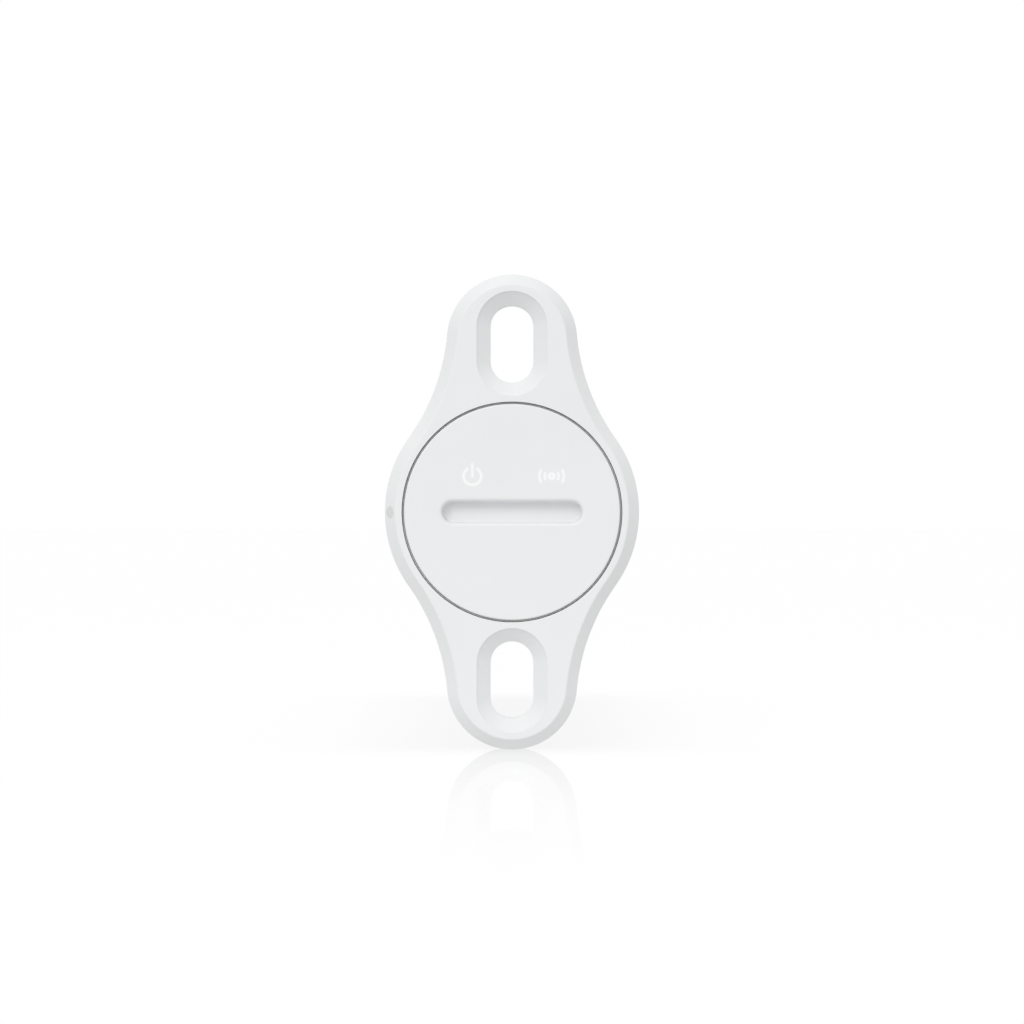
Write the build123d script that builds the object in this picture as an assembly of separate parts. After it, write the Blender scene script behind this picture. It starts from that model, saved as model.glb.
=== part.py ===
from build123d import *
import math
import os

# A recessed entry sensor. It is worked out on the bench: X across the plate, Y up the plate and
# Z out of its face, in millimetres, with Z = 0 on the back of the plate. The last step stands
# it up, so that the face looks along -Y and the barrel runs along +Y.

# Plate: a round middle, two round ears and four hollow waists, seen from the front
MIDDLE_R = 12.73
EAR_R = 6.51
EAR_Y = 17.27
WAIST_R = 21.2
PLATE_T = 3.6
EDGE_W = 1.1
EDGE_D = 1.25

# Screw slots, upright, with a countersunk rim
SLOT_Y = 16.8
SLOT_R = 2.14
SLOT_STRAIGHT = 3.4
SINK_R = 3.5
SINK_D = 1.36
SLOT_WALL = 1.2

# Pockets that core out the back of the plate round each slot
RIM_WALL = 1.4
POCKET_D = 1.6

# Barrel that goes into the bored hole, with a wider collar behind the plate
COLLAR_R = 10.8
COLLAR_L = 10.4
BARREL_R = 10.6
BARREL_BORE_R = 9.3
BARREL_FLOOR_T = 1.2
BARREL_END_CHAMFER = 1.2
FACE_BORE_R = 11.04
SHELF_Z = 0.9

# Crush ribs that grip the hole, and the ribs that centre the cell
CRUSH_RIBS = 6
CRUSH_H = 0.35
CRUSH_W = 0.8
CRUSH_L = 10.0
CELL_RIBS = 6
CELL_RIB_W = 1.0
CELL_RIB_R = 8.0
CELL_RIB_TOP = -8.0

# Face cap: disc, seal step and skirt
DISC_R = 10.78
DISC_T = 2.0
STEP_R = 10.15
STEP_T = 0.6
SKIRT_R = 9.1
SKIRT_T = 1.0
POD_BACK = -7.4

# Coin slot across the disc
COIN_L = 14.2
COIN_W = 2.5
COIN_D = 1.15
COIN_FLOOR_CHAMFER = 0.6

# Three lugs in three helical channels: 12 mm of rise for a full turn, 3 mm for the lock
LEAD = 12.0
STARTS = 3
CHANNEL_R = 10.1
CHANNEL_WIDTH = 36.0
CHANNEL_LOW = -2.1
LUG_R = 9.95
LUG_WIDTH = 32.0
LUG_LOW = -2.0
LUG_H = 1.6

# Face seal, shown squeezed between the disc and the shelf
SEAL_R = 10.52
SEAL_WIRE_R = 0.33
SEAL_FLAT = 0.28

# Index dot on the left chamfer
DOT_R = 0.6
DOT_T = 0.6

# Lights behind the disc
LIGHT_X = 3.95
LIGHT_Y = 3.58
GUIDE_R = 1.55
GUIDE_TIP_R = 0.9
GUIDE_SKIN = 0.6
SHROUD_R = 2.1
SHROUD_BORE_R = 1.62
SHROUD_BRIDGE_W = 1.4

# Board and what it carries
BOARD_R = 7.95
BOARD_FRONT = -1.0
BOARD_T = 0.8
SCREW_X = 5.0
SCREW_R = 0.6
SCREW_HEAD_R = 1.15
SCREW_HEAD_T = 0.6
BOSS_R = 1.4
COVER_T = 1.0
COVER_R = 8.05
COVER_RIM_T = 0.8
COVER_RIM_H = 1.2
REED_Y = -3.2
REED_R = 0.9
REED_L = 7.8
LEAD_R = 0.22
ANTENNA_R = 7.15
ANTENNA_SWEEP = 100.0
ANTENNA_H = 1.8
ANTENNA_LIFT = 0.4
SHIELD = (6.4, 5.2, 1.4)
SHIELD_Y = -4.0
SHIELD_WALL = 0.2
SWITCH = (3.6, 3.0, 1.4)
SWITCH_Y = 4.9
BUTTON_R = 1.5
BUTTON_PROUD = 0.4
CAPACITOR_AT = (-3.9, 4.0)
CAPACITOR_R = 1.5
CRYSTAL_AT = (4.2, 3.9)

# Contacts and cell
STRIP_T = 0.25
CONTACT_W = 2.2
STRAP_W = 2.4
STRAP_Y = -8.9
RING_IN_R = 6.6
RING_OUT_R = 7.8
RING_T = 0.2
LEG_ANGLE = -45.0
CELL_R = 7.8
CELL_L = 27.0
CELL_TOP = -8.6
NUB_R = 3.0
NUB_H = 0.8
SLEEVE_T = 0.15
SLEEVE_SHORT = 0.4
SPRING_ROOM = 3.2
SPRING_WIRE_R = 0.3
SPRING_LOW_R = 5.0
SPRING_HIGH_R = 2.3
SPRING_TURNS = 2.5

# Round wires are drawn with this many sides
WIRE_SIDES = 5

# Small working clearances
FIT = 0.05
GAP = 0.1

BOARD_BACK = BOARD_FRONT - BOARD_T
DISC_BACK = PLATE_T - DISC_T
COVER_INSIDE = POD_BACK + COVER_T
CELL_BOTTOM = CELL_TOP - CELL_L
CAN_TOP = CELL_TOP - NUB_H
BARREL_FLOOR = CELL_BOTTOM - SPRING_ROOM
BARREL_END = BARREL_FLOOR - BARREL_FLOOR_T


def at(distance, degrees):
    """Point at a distance from the centre, in a direction."""
    turn = math.radians(degrees)
    return (distance * math.cos(turn), distance * math.sin(turn))


def turned(points):
    """Solid of revolution about Z from a closed profile of (radius, height) points."""
    return revolve(make_face(Plane.XZ * Polyline(*points, close=True)), Axis.Z)


def disc(radius, low, high):
    """Round slab between two heights."""
    return Pos(0, 0, low) * extrude(Circle(radius), high - low)


def ring(inner, outer, low, high):
    """Flat or tall ring between two heights."""
    return disc(outer, low, high) - disc(inner, low - 1, high + 1)


def slab(size, x, y, low):
    """Rectangular block that stands on a height."""
    return Pos(x, y, low + size[2] / 2) * Box(*size)


def strip(points, radius, width):
    """Sheet-metal strip: a bent centre line in X and Z, given its thickness and its width in Y."""
    line = FilletPolyline(*points, radius=radius)
    face = make_face(offset(line, STRIP_T / 2, side=Side.BOTH, kind=Kind.ARC))
    return Pos(0, width / 2, 0) * extrude(Plane.XZ * face, width)


def plate_outline(inset=0.0):
    """Outline of the plate, moved inwards by the inset; every arc is tangent to the next."""
    middle_r = MIDDLE_R - inset
    ear_r = EAR_R - inset
    waist_r = WAIST_R + inset
    to_middle = middle_r + waist_r
    to_ear = ear_r + waist_r
    waist_y = (to_middle**2 - to_ear**2 + EAR_Y**2) / (2 * EAR_Y)
    waist_x = math.sqrt(to_middle**2 - waist_y**2)
    side = (waist_x * middle_r / to_middle, waist_y * middle_r / to_middle)
    ear = (waist_x * ear_r / to_ear, EAR_Y + (waist_y - EAR_Y) * ear_r / to_ear)
    across = ((side[0] + ear[0]) / 2 - waist_x, (side[1] + ear[1]) / 2 - waist_y)
    reach = waist_r / math.hypot(*across)
    hollow = (waist_x + across[0] * reach, waist_y + across[1] * reach)
    arcs = []
    for sx in (1, -1):
        arcs.append(ThreePointArc((sx * side[0], -side[1]), (sx * middle_r, 0), (sx * side[0], side[1])))
        for sy in (1, -1):
            ends = [(sx * x, sy * y) for x, y in (side, hollow, ear)]
            arcs.append(ThreePointArc(*ends))
    for sy in (1, -1):
        arcs.append(ThreePointArc((ear[0], sy * ear[1]), (0, sy * (EAR_Y + ear_r)), (-ear[0], sy * ear[1])))
    return make_face(arcs)


def plate():
    """Plate with its broad chamfer, before anything is cut from it."""
    straight = PLATE_T - EDGE_D
    slope = math.degrees(math.atan2(EDGE_W, EDGE_D))
    sloped = extrude(Pos(0, 0, straight) * plate_outline(), EDGE_D, taper=slope)
    return extrude(plate_outline(), straight) + sloped


def upright_slot(radius, y):
    """Outline of a slot with round ends, standing upright on the plate."""
    return Pos(0, y) * SlotCenterToCenter(SLOT_STRAIGHT, 2 * radius, rotation=90)


def screw_slot(y):
    """Cutter for one slot: a straight hole and the countersunk rim above it."""
    slope = math.degrees(math.atan2(SINK_R - SLOT_R, SINK_D))
    hole = Pos(0, 0, -GAP) * extrude(upright_slot(SLOT_R, y), PLATE_T)
    return hole + extrude(Pos(0, 0, PLATE_T) * upright_slot(SINK_R, y), -SINK_D, taper=slope)


def rear_pockets():
    """Cutter for the cored back: inside the rim wall, outside the barrel and the slot walls."""
    face = plate_outline(RIM_WALL) - Circle(MIDDLE_R)
    for y in (SLOT_Y, -SLOT_Y):
        face -= upright_slot(SLOT_R + SLOT_WALL, y)
    return extrude(face, POCKET_D)


def helical_band(inner, outer, low, high, width):
    """Sector of a ring that climbs with the lead; every band is in step at height zero."""
    start = 360 * low / LEAD - width / 2
    reach = 2 * outer
    wedge = make_face(Polyline((0, 0), at(reach, start), at(reach, start + width), close=True))
    section = (Pos(0, 0, low) * wedge).faces()[0]
    climb = high - low
    twisted = Solid.extrude_linear_with_rotation(section, (0, 0, low), (0, 0, climb), 360 * climb / LEAD)
    return twisted & ring(inner, outer, low, high)


def around(solid, count, first=0.0):
    """Copies of a solid, evenly spaced about Z."""
    return [Rot(0, 0, first + 360 * i / count) * solid for i in range(count)]


def barrel():
    """Barrel with its collar and chamfered end, still solid and without ribs."""
    step = -COLLAR_L - (COLLAR_R - BARREL_R)
    nose = (BARREL_R - BARREL_END_CHAMFER, BARREL_END)
    side = (BARREL_R, BARREL_END + BARREL_END_CHAMFER)
    collar = [(BARREL_R, step), (COLLAR_R, -COLLAR_L), (COLLAR_R, GAP)]
    return turned([(0, BARREL_END), nose, side, *collar, (0, GAP)])


def crush_rib():
    """Low rib along the collar that fades out away from the plate."""
    low = COLLAR_R - CRUSH_H
    high = COLLAR_R + CRUSH_H
    points = [(low, GAP), (high, GAP), (high, -CRUSH_L / 2), (COLLAR_R, -CRUSH_L), (low, -CRUSH_L)]
    side = make_face(Plane.XZ * Polyline(*points, close=True))
    return Pos(0, CRUSH_W / 2, 0) * extrude(side, CRUSH_W)


def cell_rib():
    """Rib inside the bore that centres the cell, with a sloped top to lead it in."""
    back = BARREL_BORE_R + GAP
    lead_in = CELL_RIB_TOP - (back - CELL_RIB_R)
    foot = BARREL_FLOOR - GAP
    points = [(back, CELL_RIB_TOP), (CELL_RIB_R, lead_in), (CELL_RIB_R, foot), (back, foot)]
    side = make_face(Plane.XZ * Polyline(*points, close=True))
    return Pos(0, CELL_RIB_W / 2, 0) * extrude(side, CELL_RIB_W)


def dot_cutter():
    """Round pin square to the left chamfer, sunk by the dot's thickness."""
    slope = math.degrees(math.atan2(EDGE_W, EDGE_D))
    middle = Pos(-(MIDDLE_R - EDGE_W / 2), 0, PLATE_T - EDGE_D / 2) * Rot(0, slope - 90, 0)
    return middle * Pos(0, 0, -DOT_T) * extrude(Circle(DOT_R), 2 * DOT_T)


def housing():
    """Plate and barrel in one moulding, with slots, channels, ribs and cored back."""
    solid = plate() + barrel()
    solid += around(crush_rib(), CRUSH_RIBS, 30)
    solid -= disc(BARREL_BORE_R, BARREL_FLOOR, PLATE_T + GAP)
    solid -= disc(FACE_BORE_R, SHELF_Z, PLATE_T + GAP)
    solid += around(cell_rib(), CELL_RIBS)
    channel = helical_band(BARREL_BORE_R - GAP, CHANNEL_R, CHANNEL_LOW, SHELF_Z + GAP, CHANNEL_WIDTH)
    solid -= around(channel, STARTS)
    solid -= [screw_slot(SLOT_Y), screw_slot(-SLOT_Y), rear_pockets()]
    return solid - dot_cutter()


def index_dot():
    """Grey plug that lies flush in the chamfer and marks the locked side."""
    return dot_cutter() & plate()


def coin_slot():
    """Cutter for the coin slot, narrower at its floor."""
    cutter = Pos(0, 0, PLATE_T - COIN_D) * extrude(SlotOverall(COIN_L, COIN_W), 2 * COIN_D)
    return chamfer(cutter.edges().group_by(Axis.Z)[0], COIN_FLOOR_CHAMFER)


def face_cap():
    """Disc with the coin slot, seal step, skirt, three helical lugs and two screw bosses."""
    solid = disc(DISC_R, DISC_BACK, PLATE_T) - coin_slot()
    solid += disc(STEP_R, DISC_BACK - STEP_T, DISC_BACK)
    solid += disc(SKIRT_R, POD_BACK, DISC_BACK)
    solid -= disc(SKIRT_R - SKIRT_T, POD_BACK - GAP, DISC_BACK)
    solid += [Pos(x, 0, 0) * disc(BOSS_R, BOARD_FRONT, DISC_BACK) for x in (SCREW_X, -SCREW_X)]
    solid -= [Pos(x, 0, 0) * disc(SCREW_R, BOARD_FRONT - GAP, DISC_BACK - GAP) for x in (SCREW_X, -SCREW_X)]
    pocket = disc(GUIDE_R + FIT, DISC_BACK - GAP, PLATE_T - GUIDE_SKIN)
    solid -= [Pos(x, LIGHT_Y, 0) * pocket for x in (LIGHT_X, -LIGHT_X)]
    lug = helical_band(SKIRT_R - GAP, LUG_R, LUG_LOW, LUG_LOW + LUG_H, LUG_WIDTH)
    return solid + around(lug, STARTS)


def seal_ring():
    """Face seal on the step behind the disc, pressed flat on its two faces."""
    middle = (DISC_BACK + SHELF_Z) / 2
    return ring(SEAL_R - SEAL_FLAT, SEAL_R + SEAL_FLAT, middle - SEAL_WIRE_R, middle + SEAL_WIRE_R)


def light_guide(x):
    """Clear guide with a tapered tail, from the lamp on the board to the skin of the disc."""
    top = PLATE_T - GUIDE_SKIN - FIT
    tail = BOARD_FRONT + 0.7
    body = turned([(0, tail), (GUIDE_TIP_R, tail), (GUIDE_R, DISC_BACK - 0.4), (GUIDE_R, top), (0, top)])
    return Pos(x, LIGHT_Y, 0) * body


def light_shroud():
    """Two dark tubes and a bridge, which keep each light to its own sign."""
    top = DISC_BACK - FIT
    low = BOARD_FRONT
    solid = slab((2 * LIGHT_X, SHROUD_BRIDGE_W, top - low), 0, LIGHT_Y, low)
    for x in (LIGHT_X, -LIGHT_X):
        solid += Pos(x, LIGHT_Y, 0) * disc(SHROUD_R, low, top)
    for x in (LIGHT_X, -LIGHT_X):
        solid -= Pos(x, LIGHT_Y, 0) * disc(SHROUD_BORE_R, low - GAP, top + GAP)
    return solid


def status_lamps():
    """Two small lamps on the front of the board, one under each guide."""
    return [slab((1.6, 0.8, 0.6), x, LIGHT_Y, BOARD_FRONT) for x in (LIGHT_X, -LIGHT_X)]


def circuit_board():
    """Round board with its two screw holes and a key notch."""
    face = Circle(BOARD_R) - [Pos(x, 0) * Circle(SCREW_R + GAP) for x in (SCREW_X, -SCREW_X)]
    face -= Pos(0, BOARD_R) * Circle(0.8)
    return Pos(0, 0, BOARD_BACK) * extrude(face, BOARD_T)


def board_screws():
    """Two pan-head screws that hold the cover and the board to the bosses."""
    seat = POD_BACK + SCREW_HEAD_T
    tip = DISC_BACK - 1.2
    screw = disc(SCREW_HEAD_R, POD_BACK + FIT, seat) + disc(SCREW_R - FIT / 2, seat, tip)
    screw -= slab((2 * SCREW_HEAD_R, 0.3, 0.25), 0, 0, POD_BACK + FIT)
    return [Pos(x, 0, 0) * screw for x in (SCREW_X, -SCREW_X)]


def reed_glass():
    """Glass tube of the reed switch."""
    tube = disc(REED_R, -REED_L / 2, REED_L / 2)
    return Pos(0, REED_Y, BOARD_FRONT + REED_R + 0.3) * Rot(0, 90, 0) * tube


def reed_leads():
    """Two wires from the ends of the glass, bent down on to the board."""
    high = BOARD_FRONT + REED_R + 0.3
    end = REED_L / 2
    bend = end + 1.3
    leads = []
    for side in (1, -1):
        points = [(side * end, REED_Y, high), (side * bend, REED_Y, high), (side * bend, REED_Y, BOARD_FRONT)]
        path = FilletPolyline(*points, radius=0.5)
        leads.append(sweep(Plane(path @ 0, z_dir=path % 0) * RegularPolygon(LEAD_R, WIRE_SIDES), path=path))
    return leads


def antenna():
    """Upright metal strip along the lower rim of the board, on two feet."""
    start = -90 - ANTENNA_SWEEP / 2
    far = 2 * BOARD_R
    points = [(0, 0), at(far, start), (0, -1.5 * far), at(far, start + ANTENNA_SWEEP)]
    wedge = Pos(0, 0, BOARD_FRONT) * extrude(make_face(Polyline(*points, close=True)), ANTENNA_H)
    inner = ANTENNA_R - STRIP_T / 2
    arc = ring(inner, inner + STRIP_T, BOARD_FRONT + ANTENNA_LIFT, BOARD_FRONT + ANTENNA_H)
    foot = slab((STRIP_T, 0.8, 2 * ANTENNA_LIFT), ANTENNA_R, 0, BOARD_FRONT)
    return (arc & wedge) + [Rot(0, 0, start + inset) * foot for inset in (6.0, 30.0)]


def shield_can():
    """Pressed lid over the radio, with rounded corners."""
    lid = slab(SHIELD, 0, SHIELD_Y, BOARD_BACK - SHIELD[2])
    lid = fillet(lid.edges().filter_by(Axis.Z), 0.4)
    room = (SHIELD[0] - 2 * SHIELD_WALL, SHIELD[1] - 2 * SHIELD_WALL, SHIELD[2] - SHIELD_WALL)
    return lid - slab(room, 0, SHIELD_Y, BOARD_BACK - room[2])


def radio_chip():
    """Square radio chip under the shield."""
    return slab((4.0, 4.0, 0.8), 0, SHIELD_Y, BOARD_BACK - 0.8)


def crystal():
    """Metal can of the clock crystal."""
    can = slab((3.2, 1.6, 0.8), CRYSTAL_AT[0], CRYSTAL_AT[1], BOARD_BACK - 0.8)
    return fillet(can.edges().filter_by(Axis.Z), 0.4)


def bulk_capacitor():
    """Round capacitor on its square foot."""
    foot = slab((2 * CAPACITOR_R + 0.2, 2 * CAPACITOR_R + 0.2, 0.5), 0, 0, BOARD_BACK - 0.5)
    foot = chamfer(foot.edges().filter_by(Axis.Z).group_by(Axis.X)[0], 0.5)
    can = disc(CAPACITOR_R, BOARD_BACK - 3.6, BOARD_BACK - 0.5)
    return Pos(CAPACITOR_AT[0], CAPACITOR_AT[1], 0) * (foot + can)


def chip_parts():
    """Row of small chip capacitors and resistors behind the crystal."""
    size = (0.5, 1.0, 0.5)
    return [slab(size, 2.6 + 0.9 * i, 2.2, BOARD_BACK - size[2]) for i in range(4)]


def switch_base():
    """Body of the small push switch, open in the middle for its plunger."""
    base = slab(SWITCH, 0, SWITCH_Y, BOARD_BACK - SWITCH[2])
    well = Pos(0, SWITCH_Y, 0) * disc(0.9, BOARD_BACK - SWITCH[2] - GAP, BOARD_BACK - 0.5)
    return base - well


def switch_plunger():
    """Round plunger of the push switch."""
    low = BOARD_BACK - SWITCH[2]
    return Pos(0, SWITCH_Y, 0) * disc(0.8, low - 0.35, low + 0.4)


def pair_button():
    """Stepped key that passes through the cover and presses the plunger."""
    top = BOARD_BACK - SWITCH[2] - 0.35
    collar = COVER_INSIDE + FIT
    low = POD_BACK - BUTTON_PROUD
    key = disc(BUTTON_R, low, collar) + disc(BUTTON_R + 0.4, collar, collar + 0.6)
    return Pos(0, SWITCH_Y, 0) * (key + disc(0.9, collar, top))


def rear_cover():
    """Cup that closes the back of the cap, with posts, button hole, contact window and leg slot."""
    solid = disc(COVER_R, POD_BACK, COVER_INSIDE + COVER_RIM_H)
    solid -= disc(COVER_R - COVER_RIM_T, COVER_INSIDE, COVER_INSIDE + COVER_RIM_H + GAP)
    for x in (SCREW_X, -SCREW_X):
        solid += Pos(x, 0, 0) * disc(BOSS_R, COVER_INSIDE, BOARD_BACK)
    for x in (SCREW_X, -SCREW_X):
        solid -= Pos(x, 0, 0) * disc(SCREW_R + FIT, POD_BACK - GAP, BOARD_BACK + GAP)
        solid -= Pos(x, 0, 0) * disc(SCREW_HEAD_R + GAP, POD_BACK - GAP, POD_BACK + SCREW_HEAD_T)
    solid -= Pos(0, SWITCH_Y, 0) * disc(BUTTON_R + GAP, POD_BACK - GAP, COVER_INSIDE + GAP)
    solid -= slab((5.0, CONTACT_W + 0.6, COVER_T + 2 * GAP), 0, 0, POD_BACK - GAP)
    leg = slab((STRIP_T + 0.2, 1.4, COVER_T + 2 * GAP), (RING_IN_R + RING_OUT_R) / 2 - 0.3, 0, POD_BACK - GAP)
    return solid - Rot(0, 0, LEG_ANGLE) * leg


def positive_contact():
    """Bowed leaf that stands on the board and reaches the nub of the cell."""
    foot = BOARD_BACK - STRIP_T / 2
    tip = CELL_TOP + GAP + STRIP_T / 2
    points = [(-3.0, foot), (-1.9, foot), (-1.9, tip + 0.6), (-0.6, tip), (0.6, tip), (1.9, tip + 0.9)]
    return strip(points, 0.3, CONTACT_W)


def negative_contact():
    """Flat ring on the back of the cover, with one leg through it to the board."""
    flat = ring(RING_IN_R, RING_OUT_R, POD_BACK - RING_T, POD_BACK)
    leg = slab((STRIP_T, 1.2, BOARD_BACK - POD_BACK), (RING_IN_R + RING_OUT_R) / 2 - 0.3, 0, POD_BACK)
    return flat + Rot(0, 0, LEG_ANGLE) * leg


def negative_strap():
    """Strip from the contact ring down the bore and under the spring."""
    tab = POD_BACK - RING_T - FIT - STRIP_T / 2
    low = BARREL_FLOOR + STRIP_T / 2 + FIT / 2
    points = [(STRAP_Y + 1.9, tab), (STRAP_Y, tab), (STRAP_Y, low), (SPRING_HIGH_R, low)]
    return Rot(0, 0, 90) * strip(points, 0.6, STRAP_W)


def spring_point(turn):
    """Centre of the spring's wire after some turns from its foot, and its direction there."""
    share = turn / SPRING_TURNS
    low = BARREL_FLOOR + STRIP_T + FIT + SPRING_WIRE_R
    high = CELL_BOTTOM - SPRING_WIRE_R
    radius = SPRING_LOW_R + (SPRING_HIGH_R - SPRING_LOW_R) * share
    angle = 2 * math.pi * turn
    inward = (SPRING_HIGH_R - SPRING_LOW_R) / (2 * math.pi * SPRING_TURNS)
    place = Vector(radius * math.cos(angle), radius * math.sin(angle), low + (high - low) * share)
    ahead = Vector(
        inward * math.cos(angle) - radius * math.sin(angle),
        inward * math.sin(angle) + radius * math.cos(angle),
        (high - low) / (2 * math.pi * SPRING_TURNS),
    )
    return place, ahead.normalized()


def biarc(start, start_dir, end, end_dir):
    """Two arcs, tangent to each other, that join two points in two directions."""
    chord = end - start
    along = chord.dot(start_dir + end_dir)
    bend = 2 * (1 - start_dir.dot(end_dir))
    reach = (-along + math.sqrt(along**2 + bend * chord.dot(chord))) / bend
    first = start + start_dir * reach
    last = end - end_dir * reach
    joint = (first + last) * 0.5
    return [TangentArc(start, joint, tangent=start_dir), TangentArc(joint, end, tangent=last - first)]


def negative_spring():
    """Conical wire spring between the strap and the foot of the cell."""
    quarters = round(4 * SPRING_TURNS)
    places = [spring_point(i / 4) for i in range(quarters + 1)]
    arcs = []
    for (start, start_dir), (end, end_dir) in zip(places, places[1:]):
        arcs += biarc(start, start_dir, end, end_dir)
    path = Wire(arcs)
    samples = [spring_point(i / 64)[0] for i in range(round(64 * SPRING_TURNS) + 1)]
    gaps = [(a - b).length for i, a in enumerate(samples) for b in samples[i + 48:]]
    print("spring: least gap between turns", round(min(gaps) - 2 * SPRING_WIRE_R, 2), "mm")
    section = Plane(places[0][0], z_dir=places[0][1]) * RegularPolygon(SPRING_WIRE_R, WIRE_SIDES)
    wire = sweep(section, path=path)
    print("spring: volume", round(wire.volume, 3), "section by length", round(section.area * path.length, 3))
    return wire


def cell_can():
    """Steel can of the lithium cell."""
    return disc(CELL_R - SLEEVE_T, CELL_BOTTOM, CAN_TOP)


def cell_sleeve():
    """Plain shrink sleeve round the can, which leaves the can's front rim bare."""
    return ring(CELL_R - SLEEVE_T, CELL_R, CELL_BOTTOM, CAN_TOP - SLEEVE_SHORT)


def cell_gasket():
    """Insulating washer between the crimp and the positive cap."""
    return ring(NUB_R + 1.6, CELL_R - 1.4, CAN_TOP, CAN_TOP + 0.15)


def positive_cap():
    """Pressed cap with the positive nub."""
    return disc(NUB_R + 1.5, CAN_TOP, CAN_TOP + 0.2) + disc(NUB_R, CAN_TOP, CELL_TOP)


def save(name, shape):
    """Stands one piece up in the sensor's own frame and writes it."""
    solids = shape if isinstance(shape, list) else [shape]
    stood = [Rot(90, 0, 0) * solid for s in solids for solid in s.solids()]
    piece = stood[0] if len(stood) == 1 else Compound(stood)
    piece.label = name
    export_step(piece, os.path.join("parts", name + ".step"))


def main():
    """Builds and writes every piece."""
    os.makedirs("parts", exist_ok=True)
    pieces = {
        "housing": housing(),
        "index_dot": index_dot(),
        "cell_can": cell_can(),
        "cell_sleeve": cell_sleeve(),
        "cell_gasket": cell_gasket(),
        "cell_positive_cap": positive_cap(),
        "negative_spring": negative_spring(),
        "negative_strap": negative_strap(),
        "seal_ring": seal_ring(),
        "face_cap": face_cap(),
        "rear_cover": rear_cover(),
        "power_light_guide": light_guide(-LIGHT_X),
        "wireless_light_guide": light_guide(LIGHT_X),
        "light_shroud": light_shroud(),
        "status_lamps": status_lamps(),
        "circuit_board": circuit_board(),
        "board_screws": board_screws(),
        "reed_glass": reed_glass(),
        "reed_leads": reed_leads(),
        "antenna": antenna(),
        "shield_can": shield_can(),
        "radio_chip": radio_chip(),
        "crystal": crystal(),
        "bulk_capacitor": bulk_capacitor(),
        "chip_parts": chip_parts(),
        "switch_base": switch_base(),
        "positive_contact": positive_contact(),
        "negative_contact": negative_contact(),
        "pair_button": pair_button(),
        "switch_plunger": switch_plunger(),
    }
    for name, shape in pieces.items():
        save(name, shape)
    print("pieces", len(pieces))


main()
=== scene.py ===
# %% [markdown]
# # A recessed entry sensor
# The sensor is a white moulded plate with two screw ears. Behind it a closed barrel goes into a
# bored hole, and a round cap with a coin slot locks into the middle. The engineering model is
# loaded first as a fixed frame. Each large moulding is then modelled again with clean, softly
# rounded edges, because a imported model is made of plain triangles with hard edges. The small
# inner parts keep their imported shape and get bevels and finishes.

# %% Load the frame
import math

import bmesh
import bpy
from mathutils import Matrix, Vector


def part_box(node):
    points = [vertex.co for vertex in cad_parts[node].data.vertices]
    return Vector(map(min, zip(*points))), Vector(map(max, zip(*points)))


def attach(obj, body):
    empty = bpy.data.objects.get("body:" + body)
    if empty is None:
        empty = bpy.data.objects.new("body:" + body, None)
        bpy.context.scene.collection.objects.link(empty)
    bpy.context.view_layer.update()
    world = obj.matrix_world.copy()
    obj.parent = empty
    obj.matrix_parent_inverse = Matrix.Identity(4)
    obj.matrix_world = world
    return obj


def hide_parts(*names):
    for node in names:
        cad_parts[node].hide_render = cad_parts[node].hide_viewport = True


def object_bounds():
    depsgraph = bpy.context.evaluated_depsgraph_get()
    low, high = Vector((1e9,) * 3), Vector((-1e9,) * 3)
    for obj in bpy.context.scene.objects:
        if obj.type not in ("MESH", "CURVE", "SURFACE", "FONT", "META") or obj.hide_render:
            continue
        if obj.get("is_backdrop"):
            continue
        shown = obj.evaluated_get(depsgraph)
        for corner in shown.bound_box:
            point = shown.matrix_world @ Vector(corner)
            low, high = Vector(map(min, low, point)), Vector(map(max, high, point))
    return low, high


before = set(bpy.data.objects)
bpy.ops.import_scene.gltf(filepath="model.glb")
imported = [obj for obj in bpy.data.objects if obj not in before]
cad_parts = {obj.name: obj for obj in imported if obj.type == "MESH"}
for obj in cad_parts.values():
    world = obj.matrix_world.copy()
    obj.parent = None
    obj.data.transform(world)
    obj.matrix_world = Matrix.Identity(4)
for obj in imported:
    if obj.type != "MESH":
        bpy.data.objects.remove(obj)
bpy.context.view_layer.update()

# %% [markdown]
# ## The bench
# A plate is easiest to draw flat: X across it, Y up it and Z out of its face, in millimetres.
# One matrix then stands the finished mesh up and turns it into metres. Because the matrix goes
# into the mesh, every object stays at the origin, unturned and unscaled.

# %% Units, and the sizes that the frame gives
MM = 0.001
STAND_UP = Matrix.Rotation(math.radians(90), 4, "X") @ Matrix.Scale(MM, 4)


def reach_of(node):
    """A node's size on the bench: its half width, its top, its front and its back."""
    low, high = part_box(node)
    return high.x / MM, high.z / MM, -low.y / MM, -high.y / MM


MIDDLE_R, PLATE_TOP, PLATE_T, BARREL_END = reach_of("housing")
DISC_R, _, _, CAP_BACK = reach_of("face_cap")
print("plate", round(PLATE_T, 2), "mm thick, barrel ends at", round(BARREL_END, 2))

# %% [markdown]
# ## Rounded profiles
# A moulding has no sharp edges: a radius of a tenth of a millimetre catches a line of light. A
# Bevel modifier could add it, but it works badly beside large flat faces with holes. So the
# radius is drawn into the profile: each corner of a profile may carry a radius, and a short arc
# takes the corner's place. A point just before and just after the arc keeps the wide face
# beside it flat, because smooth shading would otherwise spread the curve over the whole face.

# %% Soften the corners of a profile
ARC_STEPS, WIDE_ARC_STEPS = 4, 8
WIDE_ARC = 0.3
HOLD = 0.06


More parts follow.
